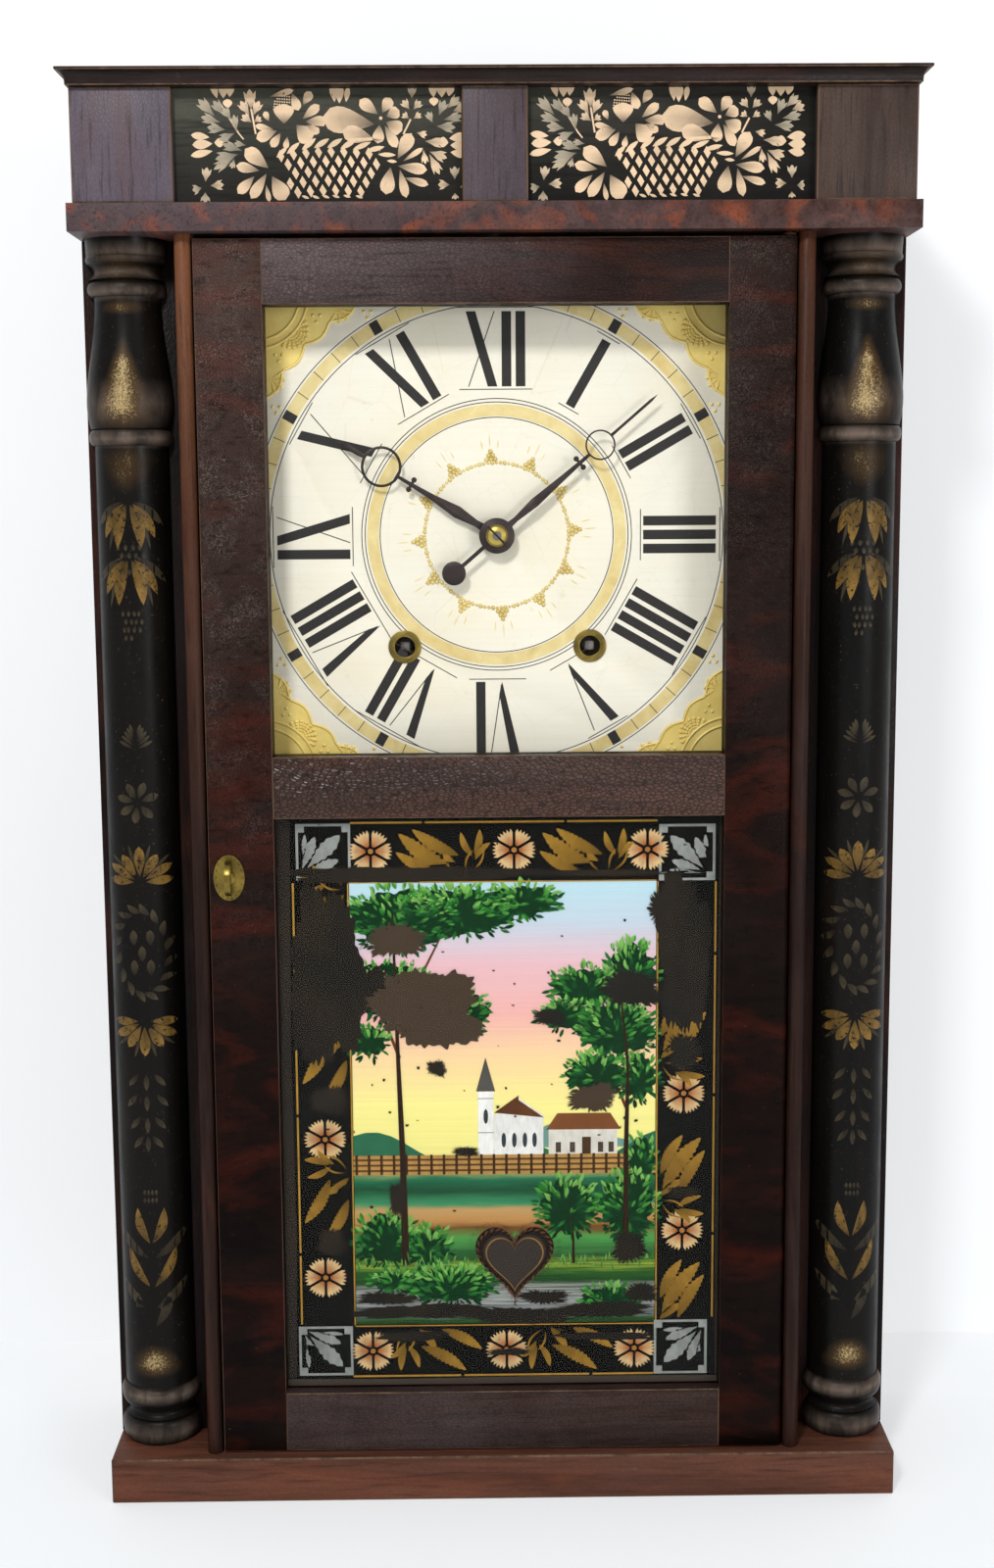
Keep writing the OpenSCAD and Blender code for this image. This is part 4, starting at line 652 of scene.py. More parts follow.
def beads(name, places, flat, finish, segments, rings):
    """Low round domes at X, depth, Z with a radius each; flat is their height against that radius."""
    bpy.ops.object.select_all(action="DESELECT")
    bpy.ops.mesh.primitive_uv_sphere_add(segments=segments, ring_count=rings, radius=1.0)
    first = bpy.context.object
    first.rotation_euler = (math.radians(90), 0, 0)
    bpy.ops.object.transform_apply(location=False, rotation=True, scale=False)
    bpy.ops.object.shade_smooth()
    made = [first] + [added(name, first.data.copy()) for _ in places[1:]]
    for dome, (x, d, z, radius) in zip(made, places):
        dome.location = (x * MM, at_depth(d), z * MM)
        dome.scale = (radius * MM, radius * flat * MM, radius * MM)
    return settle(joined(name, made), finish)


# ---- outlines, in millimetres ----

def spot(x, z, r, a):
    """The place r away from x, z, at an angle of a degrees."""
    return x + r * math.cos(math.radians(a)), z + r * math.sin(math.radians(a))


def box(x0, z0, x1, z1):
    """An upright rectangle between two corners."""
    return [(x0, z0), (x1, z0), (x1, z1), (x0, z1)]


def round_line(r, at, steps=180):
    return [spot(*at, r, 360 * i / steps) for i in range(steps)]


def leaf(x, z, angle, length, width, belly=0.55, point=0.8, bend=0.0, jag=0.0, steps=8):
    """A leaf or petal from its root at x, z; belly is where it is widest, point how sharp it ends."""
    power = math.log(0.5) / math.log(belly)
    ca, sa = spot(0, 0, 1.0, angle)
    left, right = [], []
    for i in range(steps + 1):
        t = i / steps
        half = width / 2 * math.sin(math.pi * t ** power) ** point if 0 < t < 1 else 0.0
        if jag and 0 < i < steps:
            half *= 1 + jag * (1 if i % 2 else -1)
        side = bend * math.sin(math.pi * t)
        for run, s in ((left, side + half), (right, side - half)):
            run.append((x + t * length * ca - s * sa, z + t * length * sa + s * ca, t))
    return left + right[-2:0:-1]


def strip(x0, z0, x1, z1, width):
    """A straight stroke between two places."""
    length = math.hypot(x1 - x0, z1 - z0) or 1.0
    nx, nz = -(z1 - z0) / length * width / 2, (x1 - x0) / length * width / 2
    return [(x0 + nx, z0 + nz), (x0 - nx, z0 - nz), (x1 - nx, z1 - nz), (x1 + nx, z1 + nz)]


def ragged(x, z, rx, rz, seed=1, points=260):
    """The broken edge of a patch of fallen paint: a swollen oval with bays, teeth and small nicks."""
    rng = random.Random(seed)
    size = (rx + rz) / 2
    waves = [(k, rng.uniform(0, 2 * math.pi), rng.uniform(0.5, 1.0) * 0.17 / k ** 0.6) for k in (2, 3, 5, 7, 9, 12, 16)]
    waves += [(k, rng.uniform(0, 2 * math.pi), min(rng.uniform(0.4, 1.0) * 0.9 / size, 0.09)) for k in (21, 29, 39, 52)]
    out = []
    for i in range(points):
        a = 2 * math.pi * i / points
        swell = 1 + sum(w * math.sin(k * a + p) for k, p, w in waves)
        square = 1 / max(abs(math.cos(a)) ** 3 + abs(math.sin(a)) ** 3, 0.2) ** (1 / 3)
        out.append((x + rx * swell * square * math.cos(a), z + rz * swell * square * math.sin(a)))
    return out


def toothed_flower(x, z, r):
    """Six petals with saw-cut outer edges round an open hub."""
    gap, turn, hub, steps = 9.0, 30.0, 0.24, 10
    made = []
    for p in range(6):
        a0, a1 = turn + p * 60 + gap / 2, turn + (p + 1) * 60 - gap / 2
        inner = [(*spot(x, z, r * hub, (a0 + a1) / 2 + side), 0.0) for side in (-14, 14)]
        outer = [(*spot(x, z, r * (1.0 if i % 2 else 0.82), a1 - (a1 - a0) * i / steps), 1.0)
                 for i in range(steps + 1)]
        made.append(inner + outer)
    return made


# ---- operators ----

class CLOCK_OT_case(bpy.types.Operator):
    """Wears the edges of the case's boards and gives them their veneers"""
    bl_idname = "clock.case"
    bl_label = "Case"

    def execute(self, context):
        edge = context.scene.clock_sizes.edge
        for node, finish in (("base_plinth", "base_mahogany"), ("cornice_board", "cornice_mahogany"),
                             ("cap_board", "dark_mahogany"), ("frieze_blocks", "block_mahogany"),
                             ("side_boards", "upright_mahogany"), ("frieze_sides", "dark_mahogany")):
            softened(node, finish, edge, 3, worn="worn_edge")
        softened("stile_boards", "upright_mahogany", 0.5)
        softened("bead_strips", "bead_mahogany", 0.3)
        for node in ("bottom_board", "back_boards", "dial_strips", "movement_battens"):
            softened(node, "old_pine", 0.4)
        softened("hinge_nails", "iron", 0.3)
        softened("dial_buttons", "cherry", 0.3)
        return {"FINISHED"}


def petal(x0, z0, x1, z1, width, *form):
    """A leaf from its root to its tip."""
    return leaf(x0, z0, math.degrees(math.atan2(z1 - z0, x1 - x0)), math.hypot(x1 - x0, z1 - z0), width, *form)


def notched(x0, z0, x1, z1, width):
    """A leaf that widens from its root to a tip cut into three teeth."""
    length = math.hypot(x1 - x0, z1 - z0)
    ux, uz = (x1 - x0) / length, (z1 - z0) / length
    shape = ((0, 0), (0.3, 0.2), (0.56, 0.46), (0.9, 0.52), (0.74, 0.26), (0.86, 0.2), (1.0, 0.0))
    side = [(t * length, w * width) for t, w in shape]
    run = side + [(t, -w) for t, w in side[-2:0:-1]]
    return [(x0 + t * ux - w * uz, z0 + t * uz + w * ux, t / length) for t, w in run]


# Leaves and petals of the frieze's stencil round the middle of its panel: root, tip and width, in millimetres
FANS = (
    (-33.4, 16.7, -45.6, 26.6, 8.0), (-38.2, 15.5, -50.4, 18.1, 5.3), (-40.9, 12.8, -49.9, 4.0, 5.5),
    (-34.5, 14.2, -43.0, 1.4, 5.8), (-35.0, 8.5, -33.4, -0.3, 2.7), (-31.8, 12.8, -24.9, 0.6, 9.0),
    (34.1, 21.3, 41.6, 34.1, 7.4), (36.8, 19.9, 47.4, 26.6, 2.8), (34.1, 17.6, 49.5, 15.5, 5.8),
    (37.3, 11.7, 50.1, 8.0, 4.0), (35.2, 16.0, 38.4, 1.4, 4.8), (30.4, 17.1, 27.7, 3.2, 7.7))
GREAT_FLOWER = (
    (-24.9, 39.1, -24.9, 49.2, 10.6), (-32.3, 52.7, -19.6, 56.1, 3.2), (-20.6, 54.8, -17.2, 45.8, 4.9),
    (-32.8, 40.4, -35.0, 45.4, 3.2), (-15.3, 41.5, -6.3, 48.6, 4.9), (-13.7, 40.2, -2.8, 40.1, 6.0),
    (-14.8, 48.6, -10.5, 55.3, 4.9), (-30.2, 36.2, -40.0, 38.3, 3.2), (-28.6, 35.7, -39.5, 31.6, 6.0),
    (-26.8, 34.6, -31.8, 27.4, 4.5), (-18.5, 38.6, -10.9, 30.6, 9.8), (-13.2, 38.6, -6.6, 34.4, 4.3),
    (-23.3, 32.7, -24.4, 26.5, 3.2))
MELONS = (
    (22.4, 38.6, -4.9, 42.3, 13.6), (22.4, 30.9, 5.4, 35.4, 8.7), (24.2, 43.7, 14.7, 51.1, 6.4),
    (26.4, 44.4, 30.9, 52.0, 6.0), (28.5, 42.5, 35.3, 45.7, 6.4), (28.3, 39.9, 36.6, 35.4, 7.7),
    (27.6, 38.2, 33.8, 26.9, 5.3), (24.9, 38.6, 23.8, 29.1, 6.2))
TULIPS = (
    (1.7, 50.0, 0.4, 59.9, 3.8), (4.1, 49.3, 4.4, 59.3, 4.5), (7.6, 50.0, 8.8, 57.6, 3.0),
    (-59.5, 52.1, -62.1, 61.0, 3.8), (-56.2, 52.1, -56.2, 60.3, 4.9), (-53.0, 52.7, -52.3, 59.9, 4.3),
    (-54.1, 47.1, -54.1, 51.8, 4.9), (-64.0, 32.5, -73.6, 33.7, 3.8), (-62.5, 29.3, -73.0, 28.7, 4.9),
    (-62.5, 25.6, -74.0, 23.2, 3.8), (-61.5, 29.8, -56.6, 29.8, 4.7), (53.3, 52.1, 52.7, 59.9, 4.3),
    (57.5, 52.1, 57.5, 60.3, 5.3), (61.2, 52.7, 62.5, 58.8, 4.3), (53.4, 47.8, 53.4, 52.3, 4.9),
    (61.2, 31.4, 70.8, 32.5, 4.9), (61.8, 28.0, 70.8, 27.7, 5.3), (61.8, 24.5, 70.3, 23.1, 4.3),
    (60.8, 29.3, 55.7, 29.8, 5.3))
LEFT_SPRAYS = (
    (-56.3, 43.6, -61.5, 51.0, 5.1), (-52.3, 41.2, -56.8, 47.6, 4.5), (-60.8, 42.9, -69.4, 51.8, 5.5),
    (-57.9, 39.9, -68.3, 42.9, 4.9), (-55.5, 36.2, -65.1, 37.6, 5.3), (-50.6, 34.6, -59.1, 31.0, 4.5),
    (-49.6, 35.4, -51.1, 44.0, 3.8), (-41.9, 46.3, -42.6, 56.7, 6.2), (-42.8, 43.3, -47.4, 50.8, 4.9),
    (-40.9, 43.3, -37.5, 50.8, 4.9), (-41.7, 39.9, -46.8, 43.7, 4.5), (-40.4, 40.1, -36.8, 42.5, 3.6),
    (-44.9, 28.4, -51.3, 29.5, 3.2), (-47.0, 25.6, -57.4, 29.1, 4.9), (-49.1, 23.8, -61.3, 21.4, 6.0),
    (-50.8, 22.7, -62.3, 16.1, 4.9), (-51.3, 21.6, -52.8, 16.5, 3.2), (-66.6, 9.9, -65.7, 17.4, 4.9),
    (-64.2, 8.0, -57.0, 8.5, 4.9), (-68.7, 6.9, -73.6, 5.7, 4.9), (-66.9, 4.8, -67.0, -0.7, 4.9))
RIGHT_SPRAYS = (
    (41.9, 51.4, 42.1, 57.8, 4.5), (40.6, 46.1, 37.0, 50.8, 4.3), (42.7, 46.1, 46.6, 50.3, 4.3),
    (40.2, 41.6, 37.0, 44.0, 3.6), (42.7, 41.4, 46.6, 44.0, 3.4), (55.9, 42.9, 59.3, 50.8, 4.9),
    (60.2, 46.5, 66.8, 52.5, 4.9), (63.4, 45.2, 70.0, 47.6, 5.1), (58.3, 40.8, 68.3, 42.9, 4.9),
    (54.4, 37.6, 64.6, 36.9, 5.3), (52.7, 39.1, 50.0, 45.0, 3.8), (48.5, 30.1, 58.3, 29.1, 4.9),
    (50.8, 24.8, 60.0, 21.4, 5.3), (50.6, 23.8, 56.1, 13.1, 4.9), (47.6, 25.9, 48.7, 18.4, 3.6),
    (44.2, 34.4, 49.7, 33.1, 3.6), (63.9, 10.5, 63.9, 17.4, 4.9), (61.2, 8.0, 55.1, 8.0, 4.9),
    (66.6, 6.9, 70.8, 6.9, 4.9), (63.9, 3.8, 64.2, 0.4, 3.6))
RIM = (
    (-29.2, 22.0, -23.3, 27.7, 2.3), (-23.8, 24.0, -16.9, 29.8, 2.6), (-15.9, 25.9, -8.4, 31.9, 2.8),
    (-9.5, 26.9, -1.5, 31.6, 2.8), (-2.6, 26.9, 5.4, 31.6, 2.8), (4.3, 26.5, 12.8, 31.1, 2.8),
    (10.7, 25.9, 20.3, 29.8, 2.6), (17.6, 25.2, 27.4, 27.4, 2.6), (24.0, 23.5, 33.2, 23.1, 2.3),
    (28.5, 20.3, 33.8, 19.7, 1.7), (-16.4, 2.7, -12.5, 1.3, 1.4), (-11.1, 2.7, -7.1, 1.3, 1.4),
    (-5.8, 2.9, -1.8, 1.5, 1.4), (-0.4, 2.9, 3.5, 1.7, 1.4), (5.4, 2.9, 9.3, 1.8, 1.4),
    (11.8, 2.7, 15.7, 1.4, 1.4))
STEMS = (
    (-39.8, 34.1, -41.9, 46.8, 0.9), (-48.8, 34.6, -57.9, 49.5, 0.7), (37.3, 33.7, 41.2, 41.2, 0.9),
    (-46.2, 31.4, -48.8, 34.6, 0.7))


def fruit_basket():
    """The frieze's stencil: a basket of fruit and flowers with sprays and buds. Plain shapes are
    even in tone, faded ones darken towards their roots."""
    plain = []
    for row in range(5):
        for col in range(-6, 7):
            x = col * 6.6 + 3.3 * (row % 2) + 0.5 * row - 0.6
            z = 22.4 - 4.9 * row + 2.6 * (1 - (x / 30) ** 2)
            left, right = -29.0 + (22 - z) * 0.5, 29.0 - (22 - z) * 0.72
            if left < x < right and z > 3.4:
                plain.append([(x - 0.3, z + 3.2), (x - 1.9, z + 0.3), (x + 0.3, z - 3.2), (x + 1.9, z - 0.3)])
    plain += [petal(*place, 0.5, 0.85) for place in RIM]
    plain += [strip(x0, z0, x1, z1, width) for x0, z0, x1, z1, width in STEMS]
    plain += [petal(*place, 0.58, 0.7) for place in TULIPS]
    for row in range(6):
        for col in range(7 - abs(row - 3)):
            x, z = -31.6 + 1.25 * col + 0.75 * row + 0.5 * abs(row - 3), 46.4 + 1.35 * row - 0.1 * col
            plain.append(round_line(0.42, (x, z), 7))
    plain.append(round_line(0.9, (25.6, 41.8), 10))
    faded = [petal(*place, 0.68, 0.55) for place in FANS + GREAT_FLOWER + MELONS]
    faint = [notched(*place) for place in LEFT_SPRAYS + RIGHT_SPRAYS]
    return plain, faded, faint


class CLOCK_OT_frieze(bpy.types.Operator):
    """Lays the black frieze ground and stencils both panels"""
    bl_idname = "clock.frieze"
    bl_label = "Frieze"

    def execute(self, context):
        cream = context.scene.clock_colours.frieze_cream
        softened("frieze_board", "stencilled_panel", 0.0)
        stencil = fruit_basket()
        parts = (("plain", 0.08, 1.0, 0.0), ("faded", 0.02, 0.12, 0.0), ("faint", 0.13, 0.3, 0.75))
        for side, middle in (("left", -85.2), ("right", 92.0)):
            for (part, lift, root, pale), shapes in zip(parts, stencil):
                for index in range(3):
                    moved = []
                    for shape in shapes[index::3]:
                        grey = pale * (0.5 + 0.5 * math.sin(shape[0][0] * 0.17 + shape[0][1] * 0.09 + 1.0)) + 0.12
                        full = tuple(a + (b - a) * min(grey, 1) for a, b in zip(cream, tint("8f8a78")))
                        moved.append(([(x + middle, z + FRIEZE_Z0 + 1.4, min(share[0] * 1.7, 1) if share else 1.0)
                                       for x, z, *share in shape], (dimmed(full, root), full)))
                    piece = cut_shapes(f"frieze_{side}_{part}", moved, FRIEZE_D - lift - 0.015 * index,
                                       "stencil")
                    self.trim(piece, side)
        return {"FINISHED"}

    def trim(self, piece, side):
        """Cuts a stencil off where the middle block and the cap start."""
        block, cap = (-17.6 if side == "left" else 17.6), FRIEZE_Z0 + 58.2
        bpy.ops.object.mode_set(mode="EDIT")
        bpy.ops.mesh.select_all(action="SELECT")
        bpy.ops.mesh.bisect(plane_co=(block * MM, 0, 0), plane_no=(1, 0, 0), use_fill=True,
                            clear_outer=block < 0, clear_inner=block > 0)
        bpy.ops.mesh.select_all(action="SELECT")
        bpy.ops.mesh.bisect(plane_co=(0, 0, cap * MM), plane_no=(0, 0, 1), use_fill=True, clear_outer=True)
        bpy.ops.object.mode_set(mode="OBJECT")


def column_ornament():
    """Stencilled leaves of one column round its middle line, bright and dull, with the height above
    the clock's foot."""
    bright, dull = [], []

    def sprout(kind, z, out, a, *form):
        """A leaf that starts a little way out from the middle line."""
        kind.append(leaf(*spot(0.0, z, out, a), a, *form))

    # two bunches of hanging leaves, and seeds under both
    for z, long in ((570, 24), (540, 25)):
        for side in (-1, 1):
            for a, share, width, kind in ((16, 1, 6.4, bright), (38, 0.9, 5.2, bright), (58, 0.8, 4.2, dull),
                                          (26, 1.1, 2.2, dull)):
                kind.append(leaf(*spot(0.0, z, 4.0, 270 + side * a), 270 + side * a * 0.8, long * share, width,
                                 0.5, 0.85, side * 1.6))
    for k in range(14):
        x, z = -5.4 + 3.6 * (k % 4) + (k // 4 % 2) * 1.6, 545 - 4.4 * (k // 4)
        dull.append(leaf(x * 1.1, z, 262 + 7 * (k % 3), 3.6, 2.0, 0.5, 0.8))
        dull.append(leaf(x * 0.8, z - 36, 262 + 7 * (k % 3), 3.4, 1.8, 0.5, 0.8))
    # small winged sprig, a flower and two crowns of petals
    for side in (-1, 1):
        for k in range(5):
            dull.append(leaf(side * 1.2, 433 + k * 1.7, 90 - side * (62 - 12 * k), 9 - k * 0.5, 1.9, 0.6, 0.8))
    for a in (20, 70, 118, 165, 215, 262, 312):
        sprout(dull, 403, 2.4, a, 9.5, 4.4, 0.6, 0.7)
    for z, up in ((358, 1), (279, -1)):
        for a, length, width in ((90, 17, 6.0), (58, 15, 5.6), (122, 15, 5.6), (30, 16, 5.2), (150, 16, 5.2),
                                 (4, 14, 5.0), (176, 14, 5.0)):
            sprout(bright, z, 3.4, a * up, length, width, 0.62, 0.65)
        for a in (44, 74, 106, 136):
            sprout(dull, z, 9.0, a * up, 13, 1.8, 0.5, 0.8)
    # wreath between the crowns, and a fading drop under the lower one
    for k in range(16):
        a = 360 * k / 16
        x, z = 12.6 * math.cos(math.radians(a)), 318 + 23 * math.sin(math.radians(a))
        dull.append(leaf(x, z, a + 62, 9.0, 3.6, 0.5, 0.85, 0.8))
    for z, spread in ((248, 9), (236, 11), (223, 8), (212, 5)):
        for side in (-1, 0, 1):
            dull.append(leaf(side * spread * 0.5, z, 270 + side * 38, 9.5, 3.0, 0.5, 0.85))
    for x, z in ((-4.6, 322), (4.6, 322), (-4.6, 305), (4.6, 305), (0, 313)):
        dull.append(leaf(x, z, 90, 9, 4.4, 0.55, 0.7))
    # lower spray with its small berries
    for z, a, length, kind in ((146, 108, 22, bright), (146, 72, 22, bright), (138, 136, 24, dull),
                               (138, 44, 24, dull), (120, 118, 26, bright), (120, 62, 26, bright),
                               (108, 136, 23, dull), (108, 44, 23, dull), (96, 112, 22, dull), (96, 68, 22, dull)):
        sprout(kind, z, 2.4, a, length, 5.4, 0.52, 0.85, 2.0 if a > 90 else -2.0)
    for k in range(8):
        dull.append(leaf(-3 + 2.2 * (k % 4), 172 + 4.6 * (k // 4), 90, 3.6, 1.6, 0.5, 0.8))
    return bright, dull


class CLOCK_OT_columns(bpy.types.Operator):
    """Smooths the turned half columns and wraps their bronze stencils round them"""
    bl_idname = "clock.columns"
    bl_label = "Columns"

    def execute(self, context):
        powder = context.scene.clock_colours.powder
        bright, dull = column_ornament()
        coats = (("bright", 0.09, bright, (dimmed(powder, 0.2), dimmed(powder, 0.55)), "powder"),
                 ("dull", 0.05, dull, ("211c14", "4a402d"), "faint_powder"))
        for side, middle in (("left", -COLUMN_X), ("right", COLUMN_X)):
            column = softened("column_" + side, "ebonised_wood", 0.0)
            for part, lift, shapes, tints, finish in coats:
                for index in range(2):
                    moved = [([(x + middle, z, share) for x, z, share in shape], tints) for shape in shapes[index::2]]
                    piece = cut_shapes(f"column_{side}_{part}_{index}", moved, -30.0, finish,
                                       thick=0.01)
                    self.wrap(piece, column, lift + 0.02 * index, middle)
        return {"FINISHED"}

    def wrap(self, piece, column, lift, middle):
        """Cuts the flat stencil into narrow bands and lays them on the turned face."""
        only(piece)
        bpy.ops.object.mode_set(mode="EDIT")
        for k in range(-9, 10):
            bpy.ops.mesh.select_all(action="SELECT")
            bpy.ops.mesh.bisect(plane_co=((middle + k * 1.9) * MM, 0, 0), plane_no=(1, 0, 0))
        bpy.ops.mesh.select_all(action="DESELECT")
        bpy.ops.object.mode_set(mode="OBJECT")
        for face in piece.data.polygons:
            face.select = face.normal.y > -0.5
        bpy.ops.object.mode_set(mode="EDIT")
        bpy.ops.mesh.select_mode(type="FACE")
        bpy.ops.mesh.delete(type="FACE")
        bpy.ops.object.mode_set(mode="OBJECT")
        wrap = piece.modifiers.new("Wrap", "SHRINKWRAP")
        wrap.target = column
        wrap.wrap_method = "PROJECT"
        wrap.use_project_x = False
        wrap.use_project_y = True
        wrap.use_project_z = False
        wrap.use_positive_direction = True
        wrap.use_negative_direction = False
        wrap.offset = lift * MM
        bpy.ops.object.modifier_apply(modifier=wrap.name)
        skin = piece.modifiers.new("Skin", "SOLIDIFY")
        skin.thickness = 0.03 * MM
        skin.offset = 0.0
        bpy.ops.object.modifier_apply(modifier=skin.name)
        bpy.ops.object.shade_smooth_by_angle(angle=math.radians(40))


def hour_numeral(text, hour, sizes):
    """Thick strokes and hairlines of one Roman hour, its feet towards the middle."""
    low, high, stroke = sizes.numeral_in, sizes.numeral_out, sizes.stroke
    gap, hairline, serif, wide = 2.4, 0.55, 0.5, 17.2
    advance = {"I": stroke, "V": 16.6, "X": wide}
    total = sum(advance[t] for t in text) + gap * (len(text) - 1)
    thick, thin = [], []
    u = -total / 2
    for t in text:
        if t == "I":
            thick.append(box(u, low, u + stroke, high))
        elif t == "V":
            thick.append([(u, high), (u + stroke, high), (u + 11.3, low + 7), (u + 9.6, low)])
            thin.append(strip(u + 10.0, low + 1.5, u + 15.9, high, hairline))
        else:
            thick.append([(u, high), (u + stroke, high), (u + wide, low), (u + wide - stroke, low)])
            thin.append(strip(u + 15.6, high, u + 1.4, low, hairline))
        u += advance[t] + gap
    for v, more in ((high + 2.2, 4.5), (low - 1.5, 3.8)):
        thin.append(strip(-total / 2 - more, v, total / 2 + more, v, serif))
    ca, sa = math.cos(math.radians(30 * hour)), math.sin(math.radians(30 * hour))

    def turned(runs):
        """Swings outlines from twelve o'clock round to their hour."""
        return [[(x * ca + z * sa, DIAL_Z - x * sa + z * ca) for x, z in run] for run in runs]

    return turned(thick), turned(thin)


def corner_edge(sx, sz, inset=0.0):
    """Scalloped edge of a gilt corner, from one side of the dial to the other."""
    radius, scallop, side, top, steps = 147.6, 3.6, 157, 148, 96
    run = []
    for i in range(steps + 1):
        a = 8 + 74 * i / steps
        x, z = spot(0, 0, radius - scallop * abs(math.sin(math.radians(25 * (a - 45)))) + inset, a)
        if x < side and z < top:
            run.append((sx * x, DIAL_Z + sz * z))
    return run


class CLOCK_OT_dial(bpy.types.Operator):
    """Paints the dial: hours, minute ring, gilt bands, raised corners and beads"""
    bl_idname = "clock.dial"
    bl_label = "Dial"

    def execute(self, context):
        sizes, colours = context.scene.clock_sizes, context.scene.clock_colours
        ink, gilt = colours.ink, colours.gilt
        softened("dial_board", "painted_dial", 0.3)
        middle = (0.0, DIAL_Z)
        circles = [(round_line(r + side * sizes.line / 2, middle), ink)
                   for r in (135.8, 126.0, 75.0, 73.1, 64.8) for side in (1, -1)]
        self.coat("dial_circles", circles, 0.0, "ink", 0.03)
        for name, out, low in (("minute_band", 134.6, 127.6), ("inner_band", 72.0, 65.5)):
            self.coat(name, [(round_line(r, middle), gilt) for r in (out, low)], 0.0, "pale_gilt", 0.05)
        ticks, blocks = [], []
        for minute in range(60):
            ends = [at for r in (127.5, 134.7) for at in spot(*middle, r, 90 - 6 * minute)]
            if minute % 5:
                ticks.append((strip(*ends, 0.42), ink))
            else:
                blocks.append((strip(*ends, 5.2), ink))
        self.coat("minute_marks", ticks + blocks, 0.04, "ink", 0.03)
        thick, thin = [], []
        for hour, text in enumerate("I II III IIII V VI VII VIII IX X XI XII".split(), 1):
            broad, fine = hour_numeral(text, hour, sizes)
            thick += [(shape, ink) for shape in broad]
            thin += [(shape, ink) for shape in fine]
        self.coat("hour_strokes", thick, 0.0, "ink", 0.04)
        self.coat("hour_hairlines", thin, 0.02, "ink", 0.03)
        self.beaded_ring(sizes.bead)
        self.corners(gilt)
        softened("winding_grommets", "brass", 0.25)
        return {"FINISHED"}

    def coat(self, name, shapes, lift, finish, thick):
        """Paint or gilding that lies on the dial board."""
        cut_shapes(name, shapes, DIAL_D - lift, finish, thick=thick)

    def beaded_ring(self, size):
        """Ring of gilt beads with a small pyramid of them and three faint rays at every hour."""
        places = []
        for k in range(108):
            x, z = spot(0.0, DIAL_Z, 40.1, 360 * k / 108)
            places.append((x, DIAL_D, z, size * (0.9 + 0.2 * math.sin(k * 2.3))))
        rays = []
        for hour in range(12):
            a = 90 - 30 * hour + 4
            for r, spread in ((42.0, (-3.3, 0, 3.3)), (44.2, (-1.5, 1.5)), (46.4, (0,))):
                for side in spread:
                    x, z = spot(0.0, DIAL_Z, r, a + side)
                    places.append((x, DIAL_D, z, size * 1.12))
            for side, r0, r1 in ((-5, 47.5, 53), (0, 48.5, 56), (5, 47.5, 53)):
                rays.append((leaf(*spot(0.0, DIAL_Z, r0, a + side), a + side * 1.6, r1 - r0, 0.7, 0.5, 0.9), "d8cca4"))
        beads("gilt_beads", places, 0.95, "raised_gilt", 12, 8)
        self.coat("faint_rays", rays, 0.0, "pale_gilt", 0.02)

    def corners(self, gilt):
        """Gilt corners with raised lines, shells of drops and small clusters."""
        shells = ((112, 112, 225, 74, 9, 8.4, 1.0), (124, 86, 200, 50, 4, 6.4, 0.9), (86, 124, 250, 50, 4, 6.4, 0.9))
        clusters = ((119, 98), (98, 119), (121, 70), (70, 121))
        side, top = 157.6, 148.6
        plates, lines, domes = [], [], []
        for sx, sz in ((-1, -1), (-1, 1), (1, -1), (1, 1)):
            edge = corner_edge(sx, sz)
            plates.append(([*edge, (edge[-1][0], DIAL_Z + sz * top), (sx * side, DIAL_Z + sz * top),
                            (sx * side, edge[0][1])], gilt))
            lines.append([(x, DIAL_D - 0.1, z) for x, z in corner_edge(sx, sz, 0.5)])
            for r in (24.0, 28.5):
                arc = [spot(0, 0, r, a) for a in range(-14, 106, 6)]
                lines.append([(sx * (131 - x), DIAL_D - 0.25, DIAL_Z + sz * (131 - z)) for x, z in arc])
            drops = []
            for x0, z0, aim, spread, count, length, size in shells:
                for k in range(count):
                    a = aim - spread + 2 * spread * k / (count - 1)
                    for part in range(5):
                        drops.append((*spot(x0, z0, 2.2 + length * part / 5, a), size * (0.55 + 0.17 * part)))
            for x0, z0 in clusters:
                drops += [(*spot(x0, z0, 2.3, 120 * k + 30), 1.05) for k in range(3)]
            domes += [(sx * x, DIAL_D - 0.1, DIAL_Z + sz * z, size) for x, z, size in drops]
        self.coat("gilt_corners", plates, 0.0, "gilt", 0.12)
        wire("corner_lines", lines, 0.8, "gilt")
        beads("corner_drops", domes, 0.75, "gilt", 8, 5)


